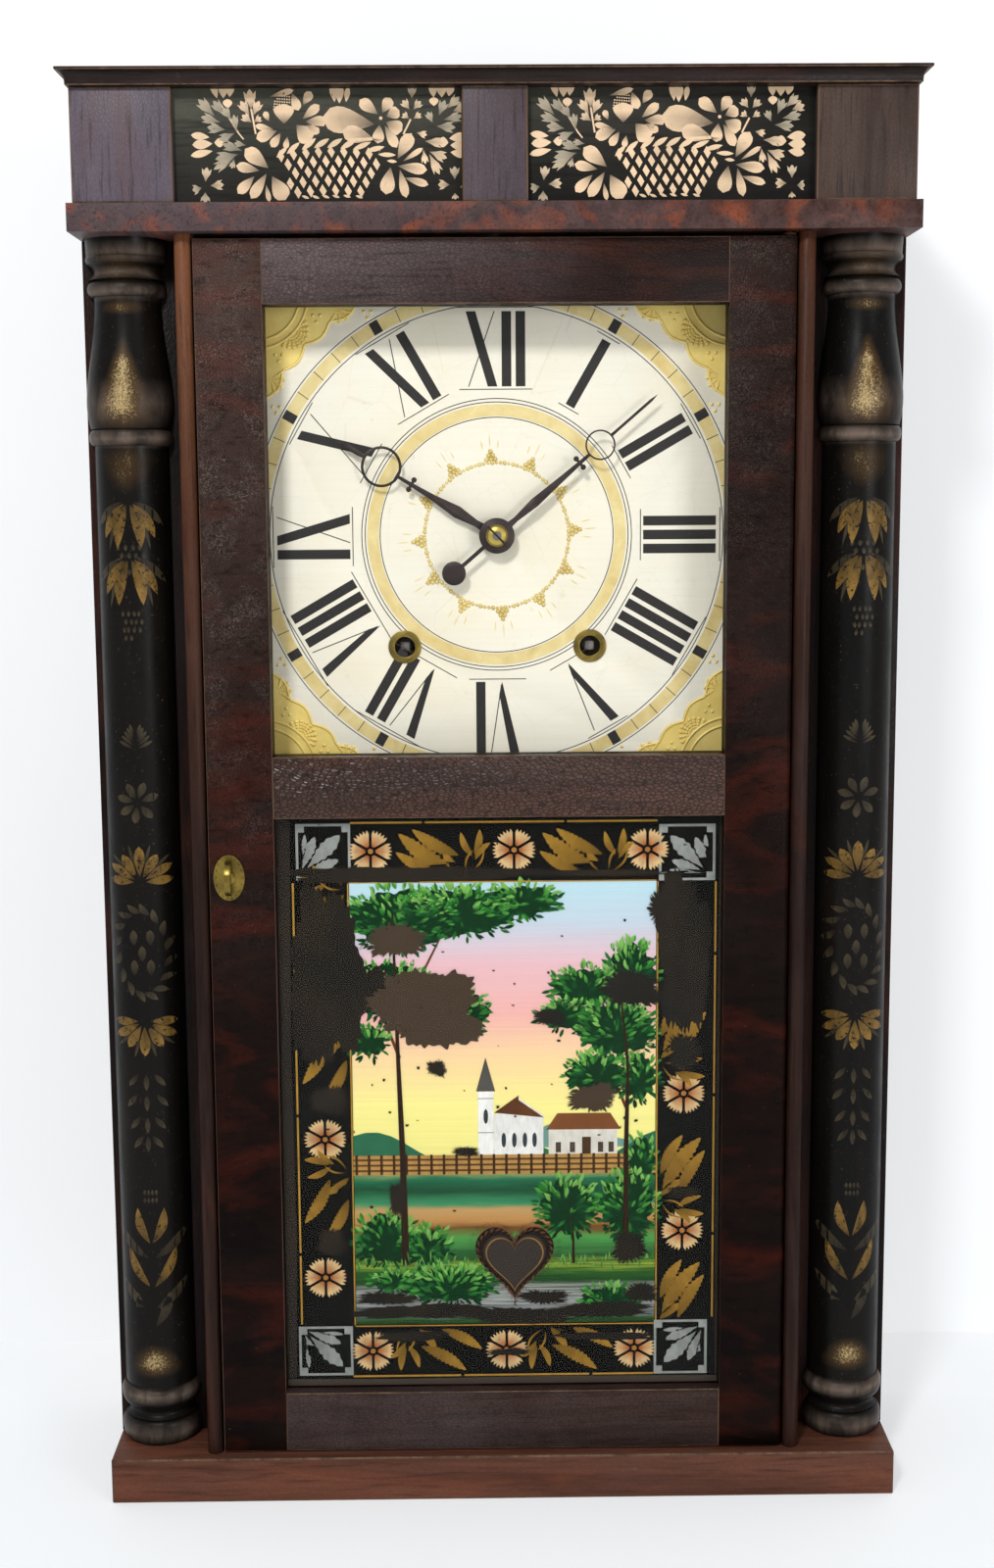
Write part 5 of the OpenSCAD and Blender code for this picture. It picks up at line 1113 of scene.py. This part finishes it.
class CLOCK_OT_hands(bpy.types.Operator):
    """Browns the hands and gives them their domed brass collet and taper pin"""
    bl_idname = "clock.hands"
    bl_label = "Hands"

    def execute(self, context):
        for node in ("minute_hand", "hour_hand"):
            softened(node, "hand_steel", 0.16)
        front = (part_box("minute_hand")[0].y - FACE) / MM
        bpy.ops.object.select_all(action="DESELECT")
        bpy.ops.mesh.primitive_uv_sphere_add(segments=40, ring_count=20, radius=6.2 * MM)
        collet = context.object
        collet.name = "brass_collet"
        collet.rotation_euler = (math.radians(90), 0, 0)
        collet.scale = (1, 1, 0.34)
        collet.location = (0, at_depth(front + 1.2), DIAL_Z * MM)
        bpy.ops.object.transform_apply(location=True, rotation=True, scale=True)
        bpy.ops.object.mode_set(mode="EDIT")
        bpy.ops.mesh.select_all(action="SELECT")
        bpy.ops.mesh.bisect(plane_co=(0, at_depth(front + 1.38), 0), plane_no=(0, 1, 0), use_fill=True,
                            clear_outer=True)
        bpy.ops.object.mode_set(mode="OBJECT")
        bpy.ops.object.shade_smooth_by_angle(angle=math.radians(40))
        settle(collet, "dome_brass", "minute_work")
        run = [(-5.2, front - 1.1, DIAL_Z + 5.6), (0, front - 1.1, DIAL_Z), (5.4, front - 1.1, DIAL_Z - 5.4)]
        wire("taper_pin", [run], 0.55, "hand_steel", "minute_work", 3)
        return {"FINISHED"}


class CLOCK_OT_door(bpy.types.Operator):
    """Wears the door's frame, and fits its glass, escutcheon and latch"""
    bl_idname = "clock.door"
    bl_label = "Door"

    def execute(self, context):
        edge = context.scene.clock_sizes.door_edge
        for node, finish in (("door_stile_left", "door_mahogany"), ("door_stile_right", "door_mahogany"),
                             ("door_top_rail", "door_rail_mahogany"), ("door_middle_rail", "crackled_mahogany"),
                             ("door_bottom_rail", "bottom_rail_mahogany")):
            softened(node, finish, edge, worn="worn_edge")
        softened("glazing_strips", "door_mahogany", 0.2)
        softened("escutcheon", "brass", 0.0)
        softened("door_latch", "brass", 0.35, 3)
        for node in ("dial_glass", "tablet_glass"):
            softened(node, "clear_glass", 0.0)
        return {"FINISHED"}


def stalk(points, width):
    """A tapering stroke through places, thick at its start."""
    left, right = [], []
    for i, (x, z) in enumerate(points):
        x0, z0 = points[max(i - 1, 0)]
        x1, z1 = points[min(i + 1, len(points) - 1)]
        length = math.hypot(x1 - x0, z1 - z0) or 1.0
        half = width / 2 * (1 - 0.75 * i / (len(points) - 1))
        nx, nz = -(z1 - z0) / length * half, (x1 - x0) / length * half
        left.append((x + nx, z + nz))
        right.append((x - nx, z - nz))
    return left + right[::-1]


def dab_cloud(x, z, rx, rz, count, size, rng, greens):
    """Combed strokes of foliage in an oval, sorted into layers where few overlap, lit from above."""
    layers = [[] for _ in range(4)]
    for _ in range(count):
        a, r = rng.uniform(0, 360), rng.random() ** 0.42
        px, pz = x + rx * r * math.cos(math.radians(a)), z + rz * r * math.sin(math.radians(a))
        out = math.degrees(math.atan2(pz - z + rz * 0.35, px - x)) + rng.uniform(-28, 28)
        lit = min(max(0.5 + 0.42 * (pz - z) / rz + rng.uniform(-0.34, 0.34), 0.0), 0.999)
        length = size * rng.uniform(0.7, 1.3)
        for layer in layers:
            if all(math.hypot(px - q[0], pz - q[1]) > (length + q[2]) * 0.2 for q in layer):
                layer.append((px, pz, length, out, greens[int(lit * len(greens))]))
                break
    return [[(leaf(px, pz, a, length, length * 0.34, 0.5, 0.8, 0.0, 0.0, 4), (dimmed(green, 0.55), green))
             for px, pz, length, a, green in layer] for layer in layers]


def lobes(x, z, rx, rz, seed):
    """Lumpy outline of a mass of foliage."""
    rng = random.Random(seed)
    turn, count = rng.uniform(0, 6), 9 + seed % 4
    out = []
    for i in range(96):
        a = 2 * math.pi * i / 96
        swell = 0.82 + 0.16 * abs(math.sin(count * a / 2 + turn)) + 0.05 * math.sin(3 * a + turn)
        swell += 0.02 * math.sin(29 * a)
        out.append((x + rx * swell * math.cos(a), z + rz * swell * math.sin(a)))
    return out


def heart(x, z, half, tall, steps=60):
    """A heart round x, z, given half its width and its height."""
    out = []
    for i in range(steps):
        t = 2 * math.pi * i / steps
        hx = math.sin(t) ** 3
        hz = (13 * math.cos(t) - 5 * math.cos(2 * t) - 2 * math.cos(3 * t) - math.cos(4 * t) + 2.5) / 14.5
        out.append((x + half * hx, z + tall / 2 * hz))
    return out


class CLOCK_OT_tablet(bpy.types.Operator):
    """Paints the back of the lower glass: stencilled border, landscape, heart window and losses"""
    bl_idname = "clock.tablet"
    bl_label = "Tablet"

    def layer(self, name, shapes, step, finish="picture"):
        """One coat behind the glass; a higher step lies further back."""
        return cut_shapes(name, shapes, TABLET_D + 0.04 + 0.03 * step, finish, "door", 0.02)

    def execute(self, context):
        colours = context.scene.clock_colours
        self.ochre, self.silver, self.loss = colours.ochre, colours.silver, colours.loss
        self.rng = random.Random(11)
        wide, low, high = TABLET_X - 0.1, TABLET_Z0 + 0.1, TABLET_Z1 - 0.1
        glass, window, sky = box(-wide, low, wide, high), box(-83.8, 98.2, 87.6, 356.6), box(-84.6, 97.4, 88.4, 357.4)
        self.layer("tablet_black", [(glass, "0d0b0a"), (window, "0d0b0a")], 20, "tablet_ground")
        self.layer("tablet_sky", [(sky, "dba9a6")], 22, "sky")
        self.landscape()
        self.border()
        self.losses()
        self.heart_window()
        return {"FINISHED"}

    def landscape(self):
        """A plain landscape: hills, a church and a barn, a rail fence, trees and blades of grass."""
        rng = self.rng
        hill = [(-84 + 172 * i / 24, 203 + 7 * math.sin(i * 0.55 + 0.6) + 4 * math.sin(i * 0.21 + 2))
                for i in range(25)]
        self.layer("tablet_hills", [([(-84, 197), *hill, (88, 197)], "2f6a4c")], 19)
        far = [(20 + 68 * i / 12, 213 + 6 * math.sin(i * 0.5)) for i in range(13)]
        self.layer("tablet_far_hill", [([(20, 203), *far, (88, 203)], "6f9a8e")], 19.5)
        # a white church with its steeple, and a long barn beside it
        walls = [([(-4, 198), (-4, 222), (10, 232), (24, 222), (24, 198)], "e9e8e2"),
                 ([(-13, 198), (-13, 236), (-4.2, 236), (-4.2, 198)], "f1f0ea"),
                 ([(27, 198), (27, 214), (66, 214), (66, 198)], "d9d4c8")]
        self.layer("church_walls", walls, 17)
        roofs = [([(10, 233.6), (26, 222.4), (24.4, 220.6), (10, 231)], "6b3f22"),
                 ([(10, 233.6), (10, 231), (-3.9, 221.0), (-3.9, 223.6)], "5a3620"),
                 ([(-14, 236.2), (-8.6, 256), (-3.2, 236.2)], "53504c"),
                 ([(25.6, 213.4), (32, 223), (62, 223), (68, 213.4)], "7a4a28")]
        self.layer("church_roofs", roofs, 16)
        openings = [(leaf(x, z, 90, 9, 2.6, 0.5, 0.4), "3a3f44") for x, z in
                    ((1.5, 203), (7.5, 203), (13.5, 203), (19, 203), (-8.6, 217))]
        openings += [(box(x, 200, x + 3, 206), "4c4138") for x in (31, 39, 55, 61)]
        openings.append((box(46, 198, 51, 209), "4c3423"))
        openings += [(strip(-13, z, -4.2, z, 0.5), "8b8b88") for z in (232, 212)]
        self.layer("church_windows", openings, 15)
        # rail fence along the road
        self.layer("fence_ground", [(box(-84, 187.5, 88, 199), "b38a4c")], 14.5)
        self.layer("fence_rails", [(box(-84, z, 88, z + 1.2), "5d3d20") for z in (189.4, 192.6, 195.8)], 14)
        posts = [(box(x, 187.6, x + 1.5, 199.4), "3f2916") for x in [-83 + 7.1 * k for k in range(24)]]
        self.layer("fence_posts", posts, 13.5)
        # each mass of leaves: its middle, half its width and height, and how many strokes it has
        greens = ("0c3a1a", "175a2a", "2f7d30", "50a03e", "86c45e")
        trees = ((-56, 336, 30, 18, 230), (-22, 340, 34, 14, 220), (12, 346, 22, 9, 110), (-62, 296, 24, 16, 160),
                 (-30, 282, 24, 16, 190), (-74, 266, 10, 9, 56), (48, 296, 20, 11, 130), (74, 304, 14, 18, 130),
                 (36, 280, 15, 8, 80), (66, 272, 22, 16, 200), (54, 246, 18, 12, 130), (78, 244, 10, 14, 80),
                 (-66, 150, 17, 15, 140), (-42, 144, 12, 12, 90), (38, 168, 17, 17, 160), (72, 168, 16, 20, 160),
                 (80, 196, 8, 13, 60), (-30, 122, 26, 11, 190), (-62, 124, 12, 5, 60), (62, 112, 18, 8, 100))
        trunks = (([(-55, 134), (-56, 200), (-58, 260), (-60, 340)], 4.4),
                  ([(71, 138), (71, 200), (72, 250), (66, 310)], 3.6),
                  ([(41, 134), (41, 150), (39, 166)], 1.8))
        branches = (([(-57, 270), (-46, 300), (-26, 340)], 2.4), ([(71, 226), (60, 252), (50, 274)], 1.9),
                    ([(-57, 256), (-66, 280), (-72, 300)], 2.0))
        self.layer("tree_branches", [(stalk(*branch), "6a3a20") for branch in branches], 13)
        masses = [(lobes(*tree[:4], index), dimmed(greens[0], 0.7)) for index, tree in enumerate(trees)]
        for index in range(3):
            self.layer(f"foliage_mass_{index}", masses[index::3], 12.6 - 0.3 * index)
        gathered = [[] for _ in range(8)]
        for index, tree in enumerate(trees):
            for k, made in enumerate(dab_cloud(*tree, 5.0, rng, greens)):
                gathered[2 * k + index % 2] += made
        for index, pile in enumerate(gathered):
            self.layer(f"foliage_{index}", pile, 11.6 - 0.6 * index)
        self.layer("tree_trunks", [(stalk(*trunk), "2d1d12") for trunk in trunks], 6.9)
        blades = []
        for k in range(70):
            x = -82 + 168 * k / 69 + rng.uniform(-0.8, 0.8)
            blade = leaf(x, 132 + rng.uniform(-3, 3), 90 + rng.uniform(-24, 24), rng.uniform(4, 8.5), 0.9, 0.4, 0.9,
                         steps=4)
            blades.append((blade, (greens[1], greens[4 if k % 3 else 3])))
        self.layer("meadow_blades", blades[0::2], 6.5)
        self.layer("bank_blades", blades[1::2], 6.2)

    def border(self):
        """Stencilled lines, squares with leaves at the corners, flowers, and sprays between them."""
        ochre, silver = self.ochre, self.silver
        gold, pale = (dimmed(ochre, 0.3), dimmed(ochre, 0.78)), ("a85a26", "d9b884")
        lines = [box(-84.9, 98.2, -84.2, 356.4), box(88.0, 98.2, 88.7, 356.4), box(-84.2, 356.8, 87.6, 357.4),
                 box(-84.2, 97.2, 87.6, 97.8)]
        for z, runs in ((390.2, ((-82.7, -43), (-41.2, 36), (37.8, 88))), (66.6, ((-86, -24), (-22, 50), (52, 87)))):
            lines += [box(x0, z, x1, z + 1.1) for x0, x1 in runs]
        for x, runs in ((-115.6, ((99, 140), (142, 222), (224, 304), (306, 357))),
                        (120.2, ((101, 150), (152, 232), (234, 314), (316, 356)))):
            lines += [box(x, z0, x + 1.0, z1) for z0, z1 in runs]
        self.layer("border_lines", [(line, ochre) for line in lines], 4.5, "border")
        squares, leaves = [], []
        for x0, z0, x1, z1, sx, sz in ((-113.1, 358.6, -82.7, 390.4, 1, 1), (88.9, 356.8, 120.3, 388.7, -1, 1),
                                       (-117, 67.9, -86, 97.6, 1, -1), (87.3, 66.8, 117.9, 99.4, -1, -1)):
            squares.append((box(x0, z0, x1, z1), silver))
            notch, line = 3.4, 1.4
            ix0, iz0, ix1, iz1 = x0 + line, z0 + line, x1 - line, z1 - line
            squares.append(([(ix0 + notch, iz0), (ix1 - notch, iz0), (ix1 - notch, iz0 + notch), (ix1, iz0 + notch),
                             (ix1, iz1 - notch), (ix1 - notch, iz1 - notch), (ix1 - notch, iz1), (ix0 + notch, iz1),
                             (ix0 + notch, iz1 - notch), (ix0, iz1 - notch), (ix0, iz0 + notch),
                             (ix0 + notch, iz0 + notch)], silver))
            mx, mz = (x0 + x1) / 2, (z0 + z1) / 2
            for a, dx, dz, length, width in ((45, -9, -9, 26, 8.0), (22, -10, -12, 20, 5.4), (68, -12, -10, 20, 5.4),
                                             (4, -4, -11, 14, 2.6), (86, -11, -4, 14, 2.6)):
                aim = math.degrees(math.atan2(sz * math.sin(math.radians(a)), sx * math.cos(math.radians(a))))
                leaves.append((leaf(mx + sx * dx, mz + sz * dz, aim, length, width, 0.62, 0.8, 0.0, 0.14, 12),
                               (dimmed(silver, 0.7), silver)))
        self.layer("corner_squares", squares, 4.2, "border")
        self.layer("corner_leaves", leaves, 3.9, "border")
        flowers, sprays = [], []
        for x, z in ((-71.6, 374.6), (8.2, 374.8), (82.5, 374.5), (-74.5, 82.4), (2.5, 82.5), (76.0, 82.5),
                     (-101, 127), (-99.8, 209), (-99.6, 291), (103.2, 153), (103.6, 234), (103.8, 315)):
            flowers += [(shape, pale) for shape in toothed_flower(x, z, 12.2)]
            flowers.append((round_line(1.5, (x, z), 12), "a8743a"))
        self.layer("border_flowers", flowers, 3.6, "border")
        # sprays between the flowers: four broad leaves round a stalk, and a sprig of three buds
        leaves = ((14.8, -11.6, -16.0, 9.8, 8.8, 1.8), (17.4, -2.6, -8.4, 12.2, 6.8, 1.4),
                  (5.4, -12.8, -17.6, -0.6, 6.2, 1.2), (18.2, -13.0, 8.6, 0.0, 4.6, 0.8),
                  (24.8, -3.0, 18.6, 10.4, 3.8, 1.2), (26.2, -2.0, 29.2, 12.0, 4.0, -1.0),
                  (26.4, -5.0, 35.0, 4.4, 3.6, 1.2), (23.0, -12.0, 31.6, 1.6, 1.2, -2.6),
                  (21.2, -10.8, 25.4, 0.4, 1.2, 1.6))
        for x, z, turn in ((-40, 374.6, 0), (40, 374.6, 0), (-29.4, 82.4, 180), (46.0, 82.4, 180), (-100, 168, 90),
                           (-99.6, 250, 90), (-99.6, 332, 90), (103.6, 192, 270), (103.6, 118, 270), (103.6, 273, 270)):
            ca, sa = math.cos(math.radians(turn)), math.sin(math.radians(turn))
            for x0, z0, x1, z1, width, bend in leaves[:4] if z == 118 else leaves:
                length = math.hypot(x1 - x0, z1 - z0)
                aim = turn + math.degrees(math.atan2(z1 - z0, x1 - x0))
                sprays.append((leaf(x + x0 * ca - z0 * sa, z + x0 * sa + z0 * ca, aim, length, width, 0.5, 0.75, bend,
                                    0.17 if width > 4.1 else 0.0, 22), gold))
        for index in range(3):
            self.layer(f"border_sprays_{index}", sprays[index::3], 3.3 - 0.2 * index, "border")

    def losses(self):
        """Places where the paint has fallen, each a middle, half a width and height and a seed."""
        loss, brown, browned = self.loss, "43362a", (4, 5, 20)
        patches = ((-98, 303, 18, 52, 3), (-41, 285, 30, 20, 5), (-58, 324, 14, 9, 4), (-76, 296, 14, 13, 32),
                   (-52, 361.5, 62, 4.6, 8), (44, 361.5, 46, 1.8, 7), (103, 316, 14, 44, 9), (92, 340, 8, 10, 33),
                   (74, 295, 16, 9, 10), (28, 279, 8, 4.5, 12), (52, 232, 13, 7, 20), (-97, 232, 9, 8, 13),
                   (-46, 106, 36, 4.2, 14), (8, 103, 30, 4.6, 17), (58, 106, 26, 4.4, 15), (-66, 114, 15, 3.6, 16),
                   (24, 114, 12, 4, 36), (73, 143, 8, 9, 18), (-97, 148, 8, 7, 19), (-59, 174, 4.6, 9, 22),
                   (4, 81, 11, 2.2, 21), (-52, 91, 20, 2.6, 23), (104, 258, 9, 9, 24), (60, 90, 26, 2.4, 25),
                   (104, 176, 9, 3, 26), (-36, 250, 5, 4, 35), (80, 116, 9, 5, 37), (-20, 201, 7, 2.4, 38))
        made = [self.layer(f"fallen_{k}", [(ragged(x, z, rx, rz, seed), brown if seed in browned else loss)],
                           0.9 + 0.55 * (k % 4), "backing_and_shade")
                for k, (x, z, rx, rz, seed) in enumerate(patches)]
        only(joined("fallen_paint", made))
        rng, flecks = self.rng, []
        for k in range(120):
            x, z = rng.uniform(-116, 120), rng.uniform(66, 390)
            if all(math.hypot(x - q[0][0][0], z - q[0][0][1]) > 5 for q in flecks):
                flecks.append((ragged(x, z, rng.uniform(0.3, 1.1), rng.uniform(0.3, 0.9), k, 11), loss))
        self.layer("paint_flecks", flecks, 0.7, "backing_and_shade")
        wide, low, high = TABLET_X - 0.15, TABLET_Z0 + 0.15, TABLET_Z1 - 0.15
        grime = [([(-wide, low), (wide, low), (wide, 65.6), (30, 66.2), (-60, 65.4), (-wide, 66)], "4a423b"),
                 ([(-wide, 66.6), (-118.6, 67), (-117, 150), (-118, 260), (-116, 392), (-wide, high)], "2b2521"),
                 ([(wide, 66.4), (122.6, 67), (122.0, 180), (122.4, 300), (122.8, 392), (wide, high)], "2f2925")]
        self.layer("edge_grime", grime, 0.4, "backing_and_shade")

    def heart_window(self):
        """The heart through which the bob is seen, in a painted rope with its lashes; its clear pane is
        filled with a dark sheet, painted shade for the unlit inside of the case.
        """
        x, z = 7.3, 134.2
        rope, inner = heart(x, z, 22.5, 44), heart(x, z - 0.4, 18.0, 35.5)
        self.layer("heart_rope", [(rope, "1c120e"), (inner, "1c120e")], -0.1)
        # painted shade: a dark sheet in the heart stands for the shadowed inside of the case seen through the clear
        # glass
        self.layer("heart_shade_pane", [(heart(x, z - 0.4, 18.4, 36.2), "332d2a")], 0.1, "backing_and_shade")
        self.layer("heart_line", [(heart(x, z - 0.6, 16.6, 32.6), "9a7434"),
                                  (heart(x, z - 0.6, 15.9, 31.4), "9a7434")], -0.2, "border")
        knots, lashes = [], []
        mid = heart(x, z - 0.2, 20.3, 39.8, 46)
        for i, (px, pz) in enumerate(mid):
            nx, nz = mid[(i + 1) % len(mid)]
            a = math.degrees(math.atan2(nz - pz, nx - px))
            knots.append((leaf(px, pz, a + 32, 3.6, 1.3, 0.5, 0.7, 0, 0, 5), ("4b2c1c", "6b4630")))
        self.layer("heart_knots", knots, -0.3)
        out = heart(x, z, 24.2, 47.0, 90)
        for i, (px, pz) in enumerate(out):
            a = math.degrees(math.atan2(pz - z, px - x)) + self.rng.uniform(-25, 25)
            if pz > z - 8 or i % 2:
                lashes.append((leaf(px, pz, a, self.rng.uniform(1.6, 3.4), 0.35, 0.4, 0.8, 0, 0, 3), "241a12"))
        self.layer("heart_lashes", lashes, 1.9)


def centre(node):
    """Middle of a CAD node in X and Z, in millimetres."""
    low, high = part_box(node)
    return Vector(((low.x + high.x) / 2, (low.z + high.z) / 2)) / MM


def rope(name, path, radius, lay):
    """Three strands laid round a path of X and Z, at the cords' depth; lay is the length of one
    turn of a strand."""
    strands = [[], [], []]
    low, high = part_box("time_cord_fall")
    d = ((low.y + high.y) / 2 - FACE) / MM
    gone = 0.0
    for i, (x, z) in enumerate(path):
        x1, z1 = path[min(i + 1, len(path) - 1)]
        x0, z0 = path[max(i - 1, 0)]
        length = math.hypot(x1 - x0, z1 - z0) or 1.0
        nx, nz = -(z1 - z0) / length, (x1 - x0) / length
        if i:
            gone += math.hypot(x - path[i - 1][0], z - path[i - 1][1])
        for k, strand in enumerate(strands):
            a = 2 * math.pi * (gone / lay + k / 3)
            off, side = radius * 0.48 * math.cos(a), radius * 0.48 * math.sin(a)
            strand.append((x + nx * off, d + side, z + nz * off))
    return wire(name, strands, radius * 0.52, "cord", "root", 1)


def along(points, step=1.1):
    """Even steps along straight runs between places."""
    out = []
    for (x0, z0), (x1, z1) in zip(points, points[1:]):
        count = max(int(math.hypot(x1 - x0, z1 - z0) / step), 1)
        out += [(x0 + (x1 - x0) * i / count, z0 + (z1 - z0) * i / count) for i in range(count)]
    return out + [points[-1]]


class CLOCK_OT_movement(bpy.types.Operator):
    """Gives the wooden movement its woods, and lays the weight cords"""
    bl_idname = "clock.movement"
    bl_label = "Movement and weights"

    def execute(self, context):
        for node in ("front_plate", "back_plate", "pulley_blocks"):
            softened(node, "oak", 0.5)
        for node in ("plate_pillars", "time_pulley", "strike_pulley"):
            softened(node, None, 0.25)
        # each drum's winding square, in front of the plate, is steel
        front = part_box("front_plate")[0].y
        for node in ("time_drum", "strike_drum"):
            drum = softened(node, None, 0.25)
            drum.data.materials.append(FINISHES["steel_wire"])
            for face in drum.data.polygons:
                face.material_index = int(face.center.y < front)
        for node in ("time_great_wheel", "strike_great_wheel", "hour_arbor", "third_arbor", "escape_arbor",
                     "hour_pipe", "pin_arbor", "warning_arbor", "fly", "minute_arbor", "verge", "hammer",
                     "suspension_post", "bell_stand"):
            softened(node, None, 0.0)
        softened("bell", "brass", 0.2)
        softened("pendulum", "bob_brass", 0.2)
        for node in ("time_weight", "strike_weight"):
            softened(node, "iron", 0.0)
        self.cords(context.scene.clock_sizes.strand)
        return {"FINISHED"}

    def cords(self, lay):
        """Both cords: round the pulley to the drum, and the straight fall."""
        low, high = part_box("time_cord_fall")
        radius = (high.x - low.x) / 2 / MM
        x, z0, z1 = (low.x + high.x) / 2 / MM, low.z / MM, high.z / MM
        drum, pulley = centre("time_drum"), centre("time_pulley")
        wind, rise = x - pulley.x, 440
        drum_wind = wind - 1.0
        away = pulley - drum
        touch = math.atan2(away.y, away.x) + math.acos((drum_wind - wind) / away.length)
        turn = Vector((math.cos(touch), math.sin(touch)))
        arc = [(pulley.x + wind * math.cos(touch * (1 - i / 24)), pulley.y + wind * math.sin(touch * (1 - i / 24)))
               for i in range(25)]
        path = along([tuple(drum + turn * drum_wind), tuple(pulley + turn * wind)] + arc[1:])
        for side, sign in (("time", 1), ("strike", -1)):
            fall = rope(side + "_fall", along([(sign * x, z0), (sign * x, z1)]), radius, lay)
            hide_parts(side + "_cord_fall")
            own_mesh(fall)
            run = rope(side + "_run", [(sign * px, pz) for px, pz in path], radius, lay)
            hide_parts("weight_cords")


class CLOCK_OT_stage(bpy.types.Operator):
    """Sets the pale floor and wall, the lamps and the camera"""
    bl_idname = "clock.stage"
    bl_label = "Stage"

    def execute(self, context):
        scene = context.scene
        scene.view_settings.view_transform = "Standard"
        for name, place, turn, side in (("floor", (0, 0, 0), 0, 8.0), ("wall", (0, 0.16, 3.9), 90, 8.0)):
            bpy.ops.object.select_all(action="DESELECT")
            bpy.ops.mesh.primitive_plane_add(size=side, location=place, rotation=(math.radians(turn), 0, 0))
            board = context.object
            board.name = name
            bpy.ops.object.transform_apply(location=True, rotation=True, scale=True)
            paper = Finish(name + " paper", 0.9, Emission_Strength=0.4, Specular_IOR_Level=0.1)
            paper.shader.inputs["Emission Color"].default_value = (0.98, 0.99, 1.0, 1.0)
            shade = paper.noise((3, 3, 3), 2, 0.5)
            paper.set("Base Color", paper.ramp(shade, [(0.3, "c2c4c6"), (0.7, "c6c8ca")]))
            if name == "wall":
                self.one_sided(paper)
            board.data.materials.append(paper.material)
        self.room(scene)
        self.lamp("key", (-0.48, -1.57, 1.62), 0.26, 21.5, (0, 0, 0.42))
        self.lamp("fill", (0.95, -1.45, 0.62), 0.45, 7.5, (0, 0, 0.45))
        self.camera(scene)
        return {"FINISHED"}

    def room(self, scene):
        """A white room that is dimmer behind the camera."""
        world = bpy.data.worlds.new("Soft room")
        world.use_nodes = True
        nodes, links = world.node_tree.nodes, world.node_tree.links
        split = nodes.new("ShaderNodeSeparateXYZ")
        links.new(nodes.new("ShaderNodeTexCoord").outputs["Generated"], split.inputs["Vector"])
        level = nodes.new("ShaderNodeMapRange")
        for socket, value in (("From Min", -1.0), ("From Max", 0.0), ("To Min", 0.5), ("To Max", 0.6)):
            level.inputs[socket].default_value = value
        links.new(split.outputs["Y"], level.inputs["Value"])
        links.new(level.outputs["Result"], nodes["Background"].inputs["Strength"])
        nodes["Background"].inputs["Color"].default_value = (0.97, 0.985, 1.0, 1.0)
        scene.world = world

    def one_sided(self, paper):
        """The wall is seen from the front alone, so that it never stands before the clock's back."""
        side = paper.add("NewGeometry", {}).outputs["Backfacing"]
        clear = paper.add("BsdfTransparent", {})
        both = paper.add("MixShader", {0: side})
        paper.tree.links.new(paper.shader.outputs[0], both.inputs[1])
        paper.tree.links.new(clear.outputs[0], both.inputs[2])
        output = next(n for n in paper.tree.nodes if n.type == "OUTPUT_MATERIAL")
        paper.tree.links.new(both.outputs[0], output.inputs["Surface"])

    def lamp(self, name, place, size, power, target):
        """A square lamp that is turned to its target."""
        data = bpy.data.lights.new(name, "AREA")
        data.size = size
        data.energy = power
        lamp = bpy.data.objects.new(name, data)
        bpy.context.scene.collection.objects.link(lamp)
        lamp.location = place
        lamp.rotation_euler = (Vector(target) - Vector(place)).to_track_quat("-Z", "Y").to_euler()

    def camera(self, scene):
        """The camera that was fitted to the photograph; its turns are in radians."""
        yaw, pitch, roll = 0.0116, 0.1398, 0.0065
        ahead = Vector((math.sin(yaw) * math.cos(pitch), math.cos(yaw) * math.cos(pitch), -math.sin(pitch)))
        right = Vector((math.cos(yaw), -math.sin(yaw), 0))
        down = ahead.cross(right)
        right, down = math.cos(roll) * right + math.sin(roll) * down, -math.sin(roll) * right + math.cos(roll) * down
        data = bpy.data.cameras.new("camera")
        data.sensor_width = 36.0
        data.lens = 45.01
        data.clip_start = 0.05
        camera = bpy.data.objects.new("camera", data)
        scene.collection.objects.link(camera)
        turn = Matrix((right, -down, -ahead)).transposed().to_4x4()
        camera.matrix_world = Matrix.Translation((-0.0135, -1.11895, 0.5631)) @ turn
        scene.camera = camera


STEPS = (CLOCK_OT_case, CLOCK_OT_frieze, CLOCK_OT_columns, CLOCK_OT_door, CLOCK_OT_dial, CLOCK_OT_hands,
         CLOCK_OT_tablet, CLOCK_OT_movement, CLOCK_OT_stage)


class CLOCK_PT_panel(bpy.types.Panel):
    """Shows the clock's sizes, colours and steps"""
    bl_idname = "CLOCK_PT_panel"
    bl_label = "Half-column shelf clock"
    bl_space_type = "VIEW_3D"
    bl_region_type = "UI"
    bl_category = "Clock"

    def draw(self, context):
        for group in (context.scene.clock_sizes, context.scene.clock_colours):
            column = self.layout.column(align=True)
            for name in group.bl_rna.properties.keys():
                if name not in ("rna_type", "name"):
                    column.prop(group, name)
        for step in STEPS:
            self.layout.operator(step.bl_idname)


CLASSES = (ClockColours, ClockSizes, *STEPS, CLOCK_PT_panel)


def register():
    for cls in CLASSES:
        bpy.utils.register_class(cls)
    bpy.types.Scene.clock_colours = PointerProperty(type=ClockColours)
    bpy.types.Scene.clock_sizes = PointerProperty(type=ClockSizes)


def unregister():
    del bpy.types.Scene.clock_sizes
    del bpy.types.Scene.clock_colours
    for cls in reversed(CLASSES):
        bpy.utils.unregister_class(cls)


def main():
    register()
    make_finishes()
    bpy.ops.clock.case()
    bpy.ops.clock.frieze()
    bpy.ops.clock.columns()
    bpy.ops.clock.door()
    bpy.ops.clock.dial()
    bpy.ops.clock.hands()
    bpy.ops.clock.tablet()
    bpy.ops.clock.movement()
    bpy.ops.clock.stage()


if __name__ == "__main__":
    main()
